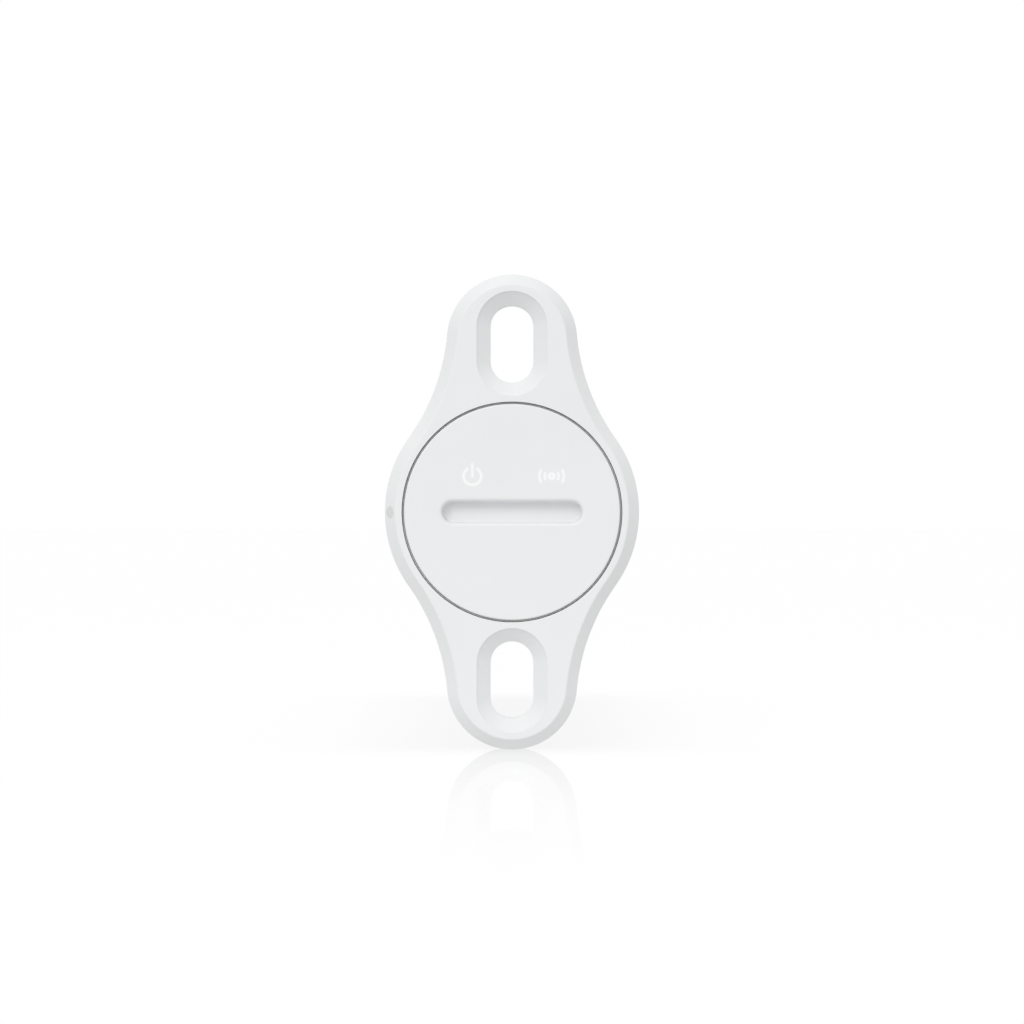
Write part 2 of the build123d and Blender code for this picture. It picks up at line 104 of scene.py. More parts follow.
def soften(corners):
    """Turns corners of (reach, height, radius) into points, with an arc at each corner."""
    points = [Vector(corners[0][:2])]
    for before, corner, after in zip(corners, corners[1:], corners[2:]):
        tip, radius = Vector(corner[:2]), corner[2]
        back = (Vector(before[:2]) - tip).normalized()
        ahead = (Vector(after[:2]) - tip).normalized()
        half = back.angle(ahead) / 2
        if radius == 0:
            points.append(tip)
            continue
        middle = tip + (back + ahead).normalized() * radius / math.sin(half)
        start = tip + back * radius / math.tan(half) - middle
        end = tip + ahead * radius / math.tan(half) - middle
        turn = math.atan2(start.cross(end), start.dot(end))
        steps = ARC_STEPS if radius < WIDE_ARC else WIDE_ARC_STEPS
        hold = min(HOLD, radius / 2)
        points.append(middle + start + back * hold)
        for i in range(steps + 1):
            points.append(middle + Matrix.Rotation(turn * i / steps, 2) @ start)
        points.append(middle + end + ahead * hold)
    points.append(Vector(corners[-1][:2]))
    return points


square = soften([(0, 0, 0), (1, 0, 0.1), (1, 1, 0)])[1:-1]
print("one square corner becomes", [tuple(round(v, 3) for v in p) for p in square])

# %% [markdown]
# ## Loops of edges
# Seen from the front, every form of the plate is a closed loop of straight lines and arcs. A
# point is spun about the centre of each arc in turn, and the last point is welded to the first.
# The same loop is drawn again for each height of a profile, a little wider or narrower.

# %% Draw loops: circles, slots and the plate's outline
ARC_DEGREES = 2.0
VERT, EDGE, FACE = bmesh.types.BMVert, bmesh.types.BMEdge, bmesh.types.BMFace


def only(kind, made):
    """The vertices, edges or faces in what an operator made."""
    return [item for item in made if isinstance(item, kind)]


def corners_of(edges):
    """Every vertex of some edges, once."""
    return list({v for e in edges for v in e.verts})


def chain(first):
    """The edges of the closed loop that a vertex is on."""
    edge, vert, found = first.link_edges[0], first, []
    while not found or edge != found[0]:
        found.append(edge)
        vert = edge.other_vert(vert)
        edge = next(e for e in vert.link_edges if e != edge)
    return found


def arc(bm, vert, centre, degrees):
    """Spins a vertex about a centre and gives the vertex at the end of the arc."""
    made = bmesh.ops.spin(
        bm, geom=[vert], cent=(*centre, vert.co.z), axis=(0, 0, 1),
        angle=math.radians(degrees), steps=max(2, round(abs(degrees) / ARC_DEGREES)),
    )
    return only(VERT, made["geom_last"])[0]


def straight(bm, vert, step):
    """Draws a straight line from a vertex and gives the vertex at its end."""
    made = bmesh.ops.extrude_vert_indiv(bm, verts=[vert])["verts"]
    bmesh.ops.translate(bm, vec=(*step, 0), verts=made)
    return made[0]


def close(bm, first, last):
    """Welds the end of a line to its start and gives the loop's edges."""
    bmesh.ops.weld_verts(bm, targetmap={last: first})
    return chain(first)


def circle(bm, reach, height, centre=(0, 0), phase=0.0, steps=180):
    """A circle of edges at a height."""
    place = Matrix.Translation((*centre, height)) @ Matrix.Rotation(math.radians(phase), 4, "Z")
    made = bmesh.ops.create_circle(bm, segments=steps, radius=reach, matrix=place)
    return chain(made["verts"][0])


def slot(bm, reach, height, centre, half, upright):
    """A slot with round ends, whose straight sides are twice half long."""
    first = bm.verts.new((reach, -half, height))
    last = arc(bm, straight(bm, first, (0, 2 * half)), (0, half), 180)
    last = arc(bm, straight(bm, last, (0, -2 * half)), (0, -half), 180)
    edges = close(bm, first, last)
    turn = Matrix.Rotation(math.radians(0 if upright else 90), 4, "Z")
    place = Matrix.Translation((*centre, 0)) @ turn
    bmesh.ops.transform(bm, matrix=place, verts=corners_of(edges))
    return edges


# %% [markdown]
# ## The outline of the plate
# The outline is eight arcs, each tangent to the next: the round middle on both sides, two round
# ears, and four hollow waists between them. The centre of a waist follows from the three radii,
# because tangent circles have their centres a sum of radii apart. Moving the outline inwards
# only changes the radii, and every arc keeps its centre and its angle.

# %% The plate's own arcs
EAR_R = 6.51
WAIST_R = 21.2
EAR_Y = PLATE_TOP - EAR_R
TO_MIDDLE = MIDDLE_R + WAIST_R
TO_EAR = EAR_R + WAIST_R
WAIST_Y = (TO_MIDDLE**2 - TO_EAR**2 + EAR_Y**2) / (2 * EAR_Y)
WAIST_X = math.sqrt(TO_MIDDLE**2 - WAIST_Y**2)
SIDE_ANGLE = math.degrees(math.atan2(WAIST_Y, WAIST_X))
EAR_ANGLE = math.degrees(math.atan2(WAIST_Y - EAR_Y, WAIST_X))
WAIST_SWEEP = SIDE_ANGLE - EAR_ANGLE


def at(reach, degrees, centre=(0, 0)):
    """The point at a distance and in a direction from a centre."""
    turn = math.radians(degrees)
    return centre[0] + reach * math.cos(turn), centre[1] + reach * math.sin(turn)


def outline(bm, inset, height):
    """The plate's outline, moved inwards by the inset."""
    first = bm.verts.new((*at(MIDDLE_R - inset, -SIDE_ANGLE), height))
    last = first
    for side in (1, -1):
        last = arc(bm, last, (0, 0), 2 * SIDE_ANGLE)
        last = arc(bm, last, (side * WAIST_X, side * WAIST_Y), -WAIST_SWEEP)
        last = arc(bm, last, (0, side * EAR_Y), 180 - 2 * EAR_ANGLE)
        last = arc(bm, last, (-side * WAIST_X, side * WAIST_Y), -WAIST_SWEEP)
    return close(bm, first, last)


print("waist centre", round(WAIST_X, 2), round(WAIST_Y, 2), "sweep", round(WAIST_SWEEP, 2))

# %% [markdown]
# ## Lofts, flat faces and the finished piece
# A loft extrudes one loop along a profile: each new ring of corners goes to where the loop is
# drawn next. (Bridging separate loops would twist where two of them lie in one plane.) Flat
# faces with holes come last: whatever is still open at one height is closed by a triangle fill.
# The fill goes wrong where many corners lie exactly level, so the loops are turned a little for
# it and turned back. Filled faces are shaded flat and the others smooth, up to sharp edges.

# %% Extrude loops, close what is open, and finish a piece
SHARP = math.radians(28)
LEVEL = 0.0005
FLAT = 1
FILL_TURN = Matrix.Rotation(0.3, 3, "Z")


def mesh_from(bm, name):
    """Writes the bench work into a mesh and lets go of it."""
    mesh = bpy.data.meshes.new(name)
    bm.to_mesh(mesh)
    bm.free()
    return mesh


def draw(bm, loop, *details):
    """Draws a loop on a sheet of its own, where spinning is quick, and adds its edges."""
    sheet = bmesh.new()
    loop(sheet, *details)
    mesh = mesh_from(sheet, "sheet")
    before = set(bm.edges)
    bm.from_mesh(mesh)
    bpy.data.meshes.remove(mesh)
    return [e for e in bm.edges if e not in before]


def points_of(loop, *details):
    """Where the corners of a loop lie, in the order in which it is drawn."""
    sheet = bmesh.new()
    loop(sheet, *details)
    points = [v.co.copy() for v in sheet.verts]
    sheet.free()
    return points


def spot(point):
    """A point as a key that can be looked up."""
    return tuple(round(c, 4) for c in point)


def loft(bm, loop, profile, *details):
    """Extrudes a loop from each point of a profile to the next, where the loop is drawn again."""
    ring = draw(bm, loop, *profile[0], *details)
    here = points_of(loop, *profile[0], *details)
    for reach, height in profile[1:]:
        there = points_of(loop, reach, height, *details)
        goes_to = {spot(a): b for a, b in zip(here, there)}
        made = bmesh.ops.extrude_edge_only(bm, edges=ring)["geom"]
        for vert in only(VERT, made):
            vert.co = goes_to[spot(vert.co)]
        ring, here = only(EDGE, made), there


def level_with(height, items):
    """The edges or faces that lie at a height."""
    return [i for i in items if all(abs(v.co.z - height) < LEVEL for v in i.verts)]


def cover(bm, height):
    """Closes everything that is open at a height with one flat face, holes left out."""
    edges = [e for e in level_with(height, bm.edges) if len(e.link_faces) == 1]
    verts = corners_of(edges)
    bmesh.ops.rotate(bm, matrix=FILL_TURN, verts=verts)
    made = bmesh.ops.triangle_fill(bm, use_beauty=True, edges=edges, normal=(0, 0, 1))
    bmesh.ops.rotate(bm, matrix=FILL_TURN.inverted(), verts=verts)
    for face in only(FACE, made["geom"]):
        face.material_index = FLAT


def put_in_scene(name, data):
    """Makes an object of a mesh, a lamp or a camera."""
    made = bpy.data.objects.new(name, data)
    bpy.context.scene.collection.objects.link(made)
    return made


def new_piece(name, bm, body, material, node):
    """Finishes the bench work: shading, outward faces, standing up, its body and its node."""
    for face in bm.faces:
        face.smooth = face.material_index != FLAT
        face.material_index = 0
    bmesh.ops.recalc_face_normals(bm, faces=bm.faces)
    for edge in bm.edges:
        edge.smooth = edge.calc_face_angle(0.0) < SHARP
    bmesh.ops.transform(bm, matrix=STAND_UP, verts=bm.verts)
    loose = sum(len(e.link_faces) != 2 for e in bm.edges)
    volume = round(bm.calc_volume() / MM**3, 2)
    print(name, "faces", len(bm.faces), "open edges", loose, "volume mm3", volume)
    mesh = mesh_from(bm, name)
    mesh.materials.append(material)
    piece = put_in_scene(name, mesh)
    slot_name = material.name.split(".")[0]  # Blender numbers a name that the frame has used
    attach(piece, body)
    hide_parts(node)
    return piece


# %% [markdown]
# ## Grain and tint
# A spark-eroded mould leaves a very fine, even grain on the plastic. It is too small to model,
# and it would look like noise if it were strong. One node group makes it from two noise
# textures on Object coordinates: a fine one for the height of the grain, and a broad one that
# lets the gloss and the colour vary by a hair. Every plastic uses it with its own sizes.

# %% A node group for moulded grain
def group_with(name, inputs, outputs):
    """An empty node group with named inputs (name, kind, value) and outputs (name, kind)."""
    group = bpy.data.node_groups.new(name, "ShaderNodeTree")
    for label, kind, value in inputs:
        socket = group.interface.new_socket(name=label, in_out="INPUT", socket_type=kind)
        if value is not None:
            socket.default_value = value
    for label, kind in outputs:
        group.interface.new_socket(name=label, in_out="OUTPUT", socket_type=kind)
    return group, group.nodes.new("NodeGroupInput"), group.nodes.new("NodeGroupOutput")


class Wiring:
    """Short words for adding nodes to one tree and joining them."""

    def __init__(self, tree):
        self.tree = tree

    def feed(self, node, values):
        """Joins each input to a socket, or sets it to a value."""
        for key, value in values.items():
            if isinstance(value, bpy.types.NodeSocket):
                self.tree.links.new(value, node.inputs[key])
            else:
                node.inputs[key].default_value = value

    def node(self, kind, values=None, **settings):
        """Adds a shader node, sets its options and feeds its inputs."""
        made = self.tree.nodes.new("ShaderNode" + kind)
        for key, value in settings.items():
            setattr(made, key, value)
        self.feed(made, values or {})
        return made

    def math(self, operation, a, b=0.0, c=0.0):
        """One step of arithmetic on sockets or numbers."""
        return self.node("Math", {0: a, 1: b, 2: c}, operation=operation).outputs[0]

    def product(self, *factors):
        """Multiplies any number of sockets or numbers."""
        made = factors[0]
        for factor in factors[1:]:
            made = self.math("MULTIPLY", made, factor)
        return made

    def distance(self, value, middle):
        """How far a value is from a middle, on either side."""
        return self.math("ABSOLUTE", self.math("SUBTRACT", value, middle))

    def ramp(self, value, low, high, to_low=0.0, to_high=1.0, kind="SMOOTHSTEP"):
        """Maps a range of a value to another range, softly at its ends."""
        ends = {"From Min": low, "From Max": high, "To Min": to_low, "To Max": to_high}
        made = self.node("MapRange", {"Value": value, **ends}, interpolation_type=kind)
        return made.outputs["Result"]

    def mix(self, factor, one, other):
        """Mixes two colours, which are the node's inputs 6 and 7 and its output 2."""
        made = self.node("Mix", {0: factor, 6: one, 7: other}, data_type="RGBA")
        return made.outputs[2]

    def split(self, place):
        """The X, Y and Z of a place."""
        return self.node("SeparateXYZ", {"Vector": place}).outputs


def moulded_grain():
    """Fine grain height and a slow drift of gloss and tint, from the position on the object."""
    group, given, gives = group_with(
        "moulded_grain",
        [("Position", "NodeSocketVector", None), ("Grain Size", "NodeSocketFloat", 0.00012),
         ("Drift Size", "NodeSocketFloat", 0.006)],
        [("Height", "NodeSocketFloat"), ("Drift", "NodeSocketFloat")],
    )
    wire = Wiring(group)
    place = {"Vector": given.outputs["Position"]}
    fine = {"Scale": wire.math("DIVIDE", 1.0, given.outputs["Grain Size"])}
    broad = {"Scale": wire.math("DIVIDE", 1.0, given.outputs["Drift Size"])}
    grain = wire.node("TexNoise", {**place, **fine, "Detail": 2.0, "Roughness": 0.55})
    drift = wire.node("TexNoise", {**place, **broad, "Detail": 3.0})
    wire.feed(gives, {"Height": grain.outputs["Fac"], "Drift": drift.outputs["Fac"]})
    return group


MOULDED_GRAIN = moulded_grain()
print("groups", [g.name for g in bpy.data.node_groups])

# %% [markdown]
# ## Moulded plastic
# One recipe serves every plain finish: a colour that drifts by about one part in fifty, a gloss
# that drifts a little more, and the grain as a bump. The colour is written as it should render
# under plain light, so the white is a light grey of about 0.8, not 1.

# %% One recipe, and matte plastic made with it
GRAIN_SIZE, GRAIN_DEPTH = 0.00014, 0.000006
GLOSS_DRIFT = 0.05


class Finish(Wiring):
    """A new material whose gloss and normal carry the grain."""

    def __init__(self, name, roughness, size, depth, stretch=(1, 1, 1)):
        self.material = bpy.data.materials.new(name)
        self.material.use_nodes = True
        super().__init__(self.material.node_tree)
        self.shader = self.tree.nodes["Principled BSDF"]
        self.place = self.node("TexCoord").outputs["Object"]
        drawn = self.node("Mapping", {"Vector": self.place, "Scale": stretch}).outputs[0]
        values = {"Position": drawn, "Grain Size": size}
        grain = self.node("Group", values, node_tree=MOULDED_GRAIN).outputs
        self.drift = grain["Drift"]
        gloss = roughness - GLOSS_DRIFT, roughness + GLOSS_DRIFT
        relief = {"Height": grain["Height"], "Distance": depth, "Strength": 1.0}
        self.bump = self.node("Bump", relief)
        self.shade({"Roughness": self.ramp(self.drift, 0.25, 0.75, *gloss)})
        self.shade({"Normal": self.bump.outputs["Normal"]})

    def tinted(self, colour, tint=0.02):
        """A colour that drifts a little to both sides."""
        low, high = ((*(min(1.0, c * part) for c in colour), 1) for part in (1 - tint, 1 + tint))
        return self.mix(self.drift, low, high)

    def shade(self, values):
        """Feeds the shader and gives the material."""
        self.feed(self.shader, values)
        return self.material


def plain_finish(name, colour, roughness, size, depth, shine, tint=0.02, stretch=(1, 1, 1)):
    """The recipe; shine holds the shader's own values."""
    wire = Finish(name, roughness, size, depth, stretch)
    return wire.shade({"Base Color": wire.tinted(colour, tint), **shine})


def plastic(name, colour, roughness=0.5):
    """Matte moulded plastic."""
    return plain_finish(name, colour, roughness, GRAIN_SIZE, GRAIN_DEPTH, {"IOR": 1.5})


WHITE = (0.815, 0.822, 0.828)
white_plastic = plastic("white_plastic", WHITE)
print("white plastic", WHITE)

# %% [markdown]
# ## The housing: plate, slots and bore
# Plate and barrel are one moulding. The outside of the plate is lofted from its back edge over
# the broad chamfer to the front; the screw slots run from their countersunk rims to the back.
# The three channels of the bayonet are cut into the bore by a trick: the bore's wall is spun
# down as a helix, so one column of its grid follows the thread, and the columns of a channel
# are simply pushed outwards.

# %% Sizes that are the housing's own
EDGE_W, EDGE_D = 1.1, 1.25  # the broad chamfer
SLOT_Y, SLOT_HALF, SLOT_R = 16.8, 1.7, 2.14
SINK_R, SINK_D, SINK_STEP, DRAFT = 3.51, 1.36, 0.12, 0.12
FACE_BORE_R, SHELF_Z = 10.995, 0.9
BARREL_BORE_R, CHANNEL_R = 9.3, 10.1
CHANNEL_STEPS, CHANNEL_FIRST, CHANNEL_WIDTH = 30, 9.0, 36.0
STEP, TWIST, STARTS = 0.1, 3.0, 3


def pull(bm, ring, factor, drop):
    """Extrudes a ring of edges, scales it about the axis and lowers it; gives the new ring."""
    made = bmesh.ops.extrude_edge_only(bm, edges=ring)["geom"]
    verts = only(VERT, made)
    bmesh.ops.scale(bm, vec=(factor, factor, 1), verts=verts)
    bmesh.ops.translate(bm, vec=(0, 0, -drop), verts=verts)
    return only(EDGE, made)


def follow(bm, ring, profile):
    """Pulls a ring along the points of a profile, from the first to the last."""
    for here, there in zip(profile, profile[1:]):
        ring = pull(bm, ring, there[0] / here[0], here[1] - there[1])
    return ring


def helix(bm, ring, steps):
    """Spins a ring down the thread, so that every column of faces is a helix."""
    made = bmesh.ops.spin(
        bm, geom=ring, cent=(0, 0, 0), axis=(0, 0, 1), dvec=(0, 0, -STEP),
        angle=-math.radians(TWIST * steps), steps=steps,
    )
    return only(EDGE, made["geom_last"])


def direction(point):
    """The direction of a point from the axis, in degrees from 0 to 360."""
    return math.degrees(math.atan2(point.y, point.x)) % 360


def raise_faces(bm, faces, move):
    """Extrudes faces, moves each new vertex with a function and takes the old faces away."""
    made = bmesh.ops.extrude_face_region(bm, geom=faces)["geom"]
    bmesh.ops.delete(bm, geom=faces, context="FACES")
    for vert in only(VERT, made):
        vert.co = move(vert.co)


def open_mouths(bm, height, inner, outer):
    """Takes away the level faces that stand between two radii at a height."""
    level = level_with(height, bm.faces)
    mouths = [f for f in level if inner < f.calc_center_median().xy.length < outer]
    bmesh.ops.delete(bm, geom=mouths, context="FACES")


def thread(bm, ring, steps, first, width, reach):
    """Spins a threaded stretch of wall and moves its three bands to another radius."""
    top = ring[0].verts[0].co.z
    before = set(bm.faces)
    low_ring = helix(bm, ring, steps)
    band = []
    for face in (f for f in bm.faces if f not in before):
        centre = face.calc_center_median()
        turned_back = (direction(centre) - (centre.z - top) * TWIST / STEP - first) % (360 / STARTS)
        if turned_back < width:
            band.append(face)
    raise_faces(bm, band, lambda p: Vector((*(p.xy.normalized() * reach), p.z)))
    return low_ring


print("channels reach", CHANNEL_R, "mm over", CHANNEL_STEPS * STEP, "mm of height")

# %% [markdown]
# ## The housing: ribs, barrel and cored back
# Inside the barrel six ribs centre the cell: columns of the wall are pushed inwards, and their
# tops are lowered so that the cell finds its way in. Outside, six low ribs on the collar are
# crushed a little when the sensor is pushed into its hole, and fade out towards the barrel. The
# back of the plate is cored round the screw slots, because a thick plastic plate would sink as
# it cools.

# %% The housing in one closed mesh
CELL_RIB_R, RIB_TOP, RIB_LEAD, RIB_HALF = 8.0, -8.1, 1.3, 3.0
BARREL_FLOOR = -38.8
COLLAR_R, COLLAR_END, BARREL_R = 10.8, -10.4, 10.6
CRUSH_H, CRUSH_MID, CRUSH_END, CRUSH_HALF = 0.35, -5.0, -10.0, 2.0
SLOT_WALL_R, RIM_WALL, POCKET_D = 3.34, 1.4, 1.6


def columns(bm, low, high, reach, middle, half):
    """Faces of a round wall between two heights, within an angle of six directions."""
    found = []
    for face in bm.faces:
        centre = face.calc_center_median()
        off = (direction(centre) - middle + 30) % 60 - 30
        on_wall = abs(centre.xy.length - reach) < 0.1
        if on_wall and low < centre.z < high and abs(off) < half:
            found.append(face)
    return found


def arc_to(bm, vert, centre, degrees, way):
    """Spins a vertex to a direction seen from a centre: way 1 is anticlockwise, -1 clockwise."""
    now = math.degrees(math.atan2(vert.co.y - centre[1], vert.co.x - centre[0]))
    return arc(bm, vert, centre, way * ((way * (degrees - now)) % 360))


def pocket(bm, half_turn):
    """One cored pocket: between the rim wall, the middle and the wall round a screw slot."""
    low_y = SLOT_Y - SLOT_HALF
    apart = math.hypot(WAIST_X, WAIST_Y)
    reach = MIDDLE_R**2 + low_y**2 - SLOT_WALL_R**2
    by_wall = math.degrees(math.asin(reach / (2 * MIDDLE_R * low_y)))
    share = (MIDDLE_R**2 + apart**2 - (WAIST_R + RIM_WALL) ** 2) / (2 * MIDDLE_R * apart)
    by_waist = SIDE_ANGLE + math.degrees(math.acos(share))
    start, on_waist = at(MIDDLE_R, by_wall), at(MIDDLE_R, by_waist)
    from_waist = math.degrees(math.atan2(on_waist[1] - WAIST_Y, WAIST_X - on_waist[0]))
    from_wall = math.degrees(math.atan2(start[1] - low_y, start[0]))
    first = last = bm.verts.new((*start, 0))
    for centre, degrees, way in (
        ((0, 0), by_waist, -1), ((WAIST_X, WAIST_Y), 180 + EAR_ANGLE, -1),
        ((0, EAR_Y), 180 - EAR_ANGLE, 1), ((-WAIST_X, WAIST_Y), from_waist, -1),
        ((0, 0), 180 - by_wall, -1), ((0, low_y), 180, -1),
    ):
        last = arc_to(bm, last, centre, degrees, way)
    last = straight(bm, last, (0, 2 * SLOT_HALF))
    last = arc_to(bm, last, (0, SLOT_Y + SLOT_HALF), 0, -1)
    last = straight(bm, last, (0, -2 * SLOT_HALF))
    last = arc_to(bm, last, (0, low_y), from_wall, -1)
    edges = close(bm, first, last)
    if half_turn:
        turn = Matrix.Rotation(math.pi, 4, "Z")
        bmesh.ops.transform(bm, matrix=turn, verts=corners_of(edges))
    return edges


def inward(point):
    """A cell rib's vertex: towards the axis, and lower at the top to lead the cell in."""
    turn = math.radians(60 * round(direction(point) / 60))
    top = RIB_TOP - RIB_LEAD if point.z > RIB_TOP - LEVEL else point.z
    return Vector((point.x - RIB_LEAD * math.cos(turn), point.y - RIB_LEAD * math.sin(turn), top))


def outward(point):
    """A crush rib's vertex: full height down to the middle, then fading out."""
    turn = math.radians(60 * round((direction(point) - 30) / 60) + 30)
    rise = CRUSH_H * min(1.0, (point.z - CRUSH_END) / (CRUSH_MID - CRUSH_END))
    return Vector((point.x + rise * math.cos(turn), point.y + rise * math.sin(turn), point.z))


def build_plate(bm):
    """Outside of the plate, its two screw slots and the round rim of the bore."""
    edge = [(0.4, 0, 0), (0, 0, 0.12), (0, PLATE_T - EDGE_D, 0.2)]
    edge += [(EDGE_W, PLATE_T, 0.22), (EDGE_W + 0.2, PLATE_T, 0)]
    loft(bm, outline, soften(edge))
    hole = [(SINK_R + 0.2, PLATE_T, 0), (SINK_R, PLATE_T, 0.03)]
    hole += [(SINK_R, PLATE_T - SINK_STEP, 0.03), (SLOT_R, PLATE_T - SINK_D, 0.05)]
    hole += [(SLOT_R + DRAFT, 0, 0.1), (SLOT_R + 0.4, 0, 0)]
    for y in (SLOT_Y, -SLOT_Y):
        loft(bm, slot, soften(hole), (0, y), SLOT_HALF, True)
    rim = [(FACE_BORE_R + 0.2, PLATE_T, 0), (FACE_BORE_R, PLATE_T, 0.04)]
    profile = soften(rim + [(FACE_BORE_R, SHELF_Z, 0.1), (FACE_BORE_R - 0.4, SHELF_Z, 0)])
    follow(bm, circle(bm, *profile[0]), profile)
    cover(bm, PLATE_T)


def build_bore(bm):
    """Channels and cell ribs, from the shelf to the floor of the barrel."""
    ring = circle(bm, BARREL_BORE_R, SHELF_Z, phase=1)
    ring = thread(bm, ring, CHANNEL_STEPS, CHANNEL_FIRST, CHANNEL_WIDTH, CHANNEL_R)
    low = SHELF_Z - CHANNEL_STEPS * STEP
    follow(bm, ring, [(BARREL_BORE_R, h) for h in (low, RIB_TOP, BARREL_FLOOR)])
    open_mouths(bm, SHELF_Z, BARREL_BORE_R + 0.1, CHANNEL_R - 0.1)
    cover(bm, SHELF_Z)
    raise_faces(bm, columns(bm, BARREL_FLOOR, RIB_TOP, BARREL_BORE_R, 0, RIB_HALF), inward)
    open_mouths(bm, BARREL_FLOOR, CELL_RIB_R, BARREL_BORE_R)
    cover(bm, BARREL_FLOOR)


def build_barrel(bm):
    """Collar with its crush ribs, the barrel's outside and its closed end."""
    side = [(COLLAR_R, CRUSH_END, 0), (COLLAR_R, COLLAR_END, 0.04)]
    side += [(BARREL_R, COLLAR_END - 0.2, 0.04), (BARREL_R, BARREL_END + 1.2, 0.3)]
    side += [(BARREL_R - 1.2, BARREL_END, 0.3), (BARREL_R - 2.0, BARREL_END, 0)]
    profile = [(COLLAR_R, 0), (COLLAR_R, CRUSH_MID)] + soften(side)
    follow(bm, circle(bm, COLLAR_R, 0), profile)
    raise_faces(bm, columns(bm, CRUSH_END, 0, COLLAR_R, 30, CRUSH_HALF), outward)
    open_mouths(bm, 0, COLLAR_R, COLLAR_R + CRUSH_H)
    bmesh.ops.remove_doubles(bm, verts=bm.verts, dist=LEVEL)
    cover(bm, BARREL_END)


def build_housing():
    """Plate, bore, barrel and cored back as one closed mesh."""
    bm = bmesh.new()
    build_plate(bm)
    build_bore(bm)
    build_barrel(bm)
    for half_turn in (False, True):
        pull(bm, draw(bm, pocket, half_turn), 1, -POCKET_D)
    cover(bm, POCKET_D)
    cover(bm, 0)
    new_piece("housing_moulding", bm, "housing", white_plastic, "housing")


build_housing()

# %% [markdown]
# ## Signs that shine through
# The power sign and the wireless sign are not printed. Two lamps behind the disc shine through
# thin places in the white plastic, so the edges of the signs are soft. They could be cut as
# windows, but then they would show as lines when the lamps are off. So each sign is a mask in
# the cap's material: the distance to the middle line of each stroke is worked out in
# millimetres from the sign's centre, and the mask feeds a faint emission.

# %% Masks for the two signs
BLUR = 0.1
SIGN_X, SIGN_Y = 3.95, 3.57
GLOW = 0.11
RING_R, RING_HALF, RING_GAP = 0.87, 0.135, 28
BAR_HALF, BAR_MIDDLE, BAR_REACH = 0.125, 0.58, 0.735
ARCS, ARC_HALF = ((0.7, 35), (1.22, 33)), 0.12
SPOT_R, SPOT_HALF = 0.24, 0.15


def sign_group(name, side, draw_strokes):
    """A node group that gives one sign as a mask on the front of the disc."""
    group, given, gives = group_with(
        name, [("Position", "NodeSocketVector", None)], [("Mask", "NodeSocketFloat")]
    )
    wire = Wiring(group)
    place = wire.split(given.outputs["Position"])
    across = wire.math("MULTIPLY_ADD", place["X"], 1 / MM, -side * SIGN_X)
    up = wire.math("MULTIPLY_ADD", place["Z"], 1 / MM, -SIGN_Y)
    radius = wire.math("SQRT", wire.math("MULTIPLY_ADD", across, across, wire.product(up, up)))
    in_front = wire.ramp(place["Y"], -(PLATE_T - 0.1) * MM, -(PLATE_T - 0.05) * MM)
    wire.feed(gives, {"Mask": wire.product(draw_strokes(wire, across, up, radius), in_front)})
    return group


def stroke(wire, distance, half):
    """1 on a stroke and 0 beside it, from the distance to its middle line."""
    return wire.ramp(distance, half + BLUR, max(0.0, half - BLUR))


def ring_stroke(wire, radius, reach, half):
    """A round stroke at a radius."""
    return stroke(wire, wire.distance(radius, reach), half)


def towards(wire, part, radius, degrees):
    """1 within an angle of the direction that part measures, 0 outside it."""
    limit = math.cos(math.radians(degrees))
    return wire.ramp(wire.math("DIVIDE", part, radius), limit - 0.04, limit + 0.04)


def power_strokes(wire, across, up, radius):
    """A ring that is open at the top, with an upright bar in the opening."""
    closed = wire.math("SUBTRACT", 1.0, towards(wire, up, radius, RING_GAP))
    ring = wire.product(ring_stroke(wire, radius, RING_R, RING_HALF), closed)
    width = stroke(wire, wire.math("ABSOLUTE", across), BAR_HALF)
    bar = wire.product(width, stroke(wire, wire.distance(up, BAR_MIDDLE), BAR_REACH))
    return wire.math("MAXIMUM", ring, bar)


def wireless_strokes(wire, across, up, radius):
    """A dot with two arcs on each side."""
    sideways = wire.math("ABSOLUTE", across)
    arcs = []
    for reach, degrees in ARCS:
        beside = towards(wire, sideways, radius, degrees)
        arcs.append(wire.product(ring_stroke(wire, radius, reach, ARC_HALF), beside))
    dot = ring_stroke(wire, radius, SPOT_R, SPOT_HALF)
    return wire.math("MAXIMUM", wire.math("MAXIMUM", *arcs), dot)


def shining_plastic():
    """The white plastic of the cap, with the two signs shining through."""
    wire = Finish("cap_plastic", 0.5, GRAIN_SIZE, GRAIN_DEPTH)
    masks = []
    for sign in (("power_sign", -1, power_strokes), ("wireless_sign", 1, wireless_strokes)):
        made = wire.node("Group", {"Position": wire.place}, node_tree=sign_group(*sign))
        masks.append(made.outputs["Mask"])
    glow = wire.mix(wire.math("MAXIMUM", *masks), (0, 0, 0, 1), (1, 1, 1, 1))
    wire.shade({"Base Color": wire.tinted(WHITE), "IOR": 1.5})
    return wire.shade({"Emission Color": glow, "Emission Strength": GLOW})


cap_plastic = shining_plastic()
print("signs at", SIGN_X, SIGN_Y, "mm on either side")

# %% [markdown]
# ## The face cap: disc, coin slot, skirt and lugs
# The disc's edge carries a radius of 0.15 mm and stands about 0.2 mm from the bore, which draws
# the fine grey ring in the face. The coin slot has a wide soft lip, walls that are nearly
# upright and a flat floor. The skirt's lugs are made as the channels are: one spun stretch of
# wall, with the columns of each lug pushed out.

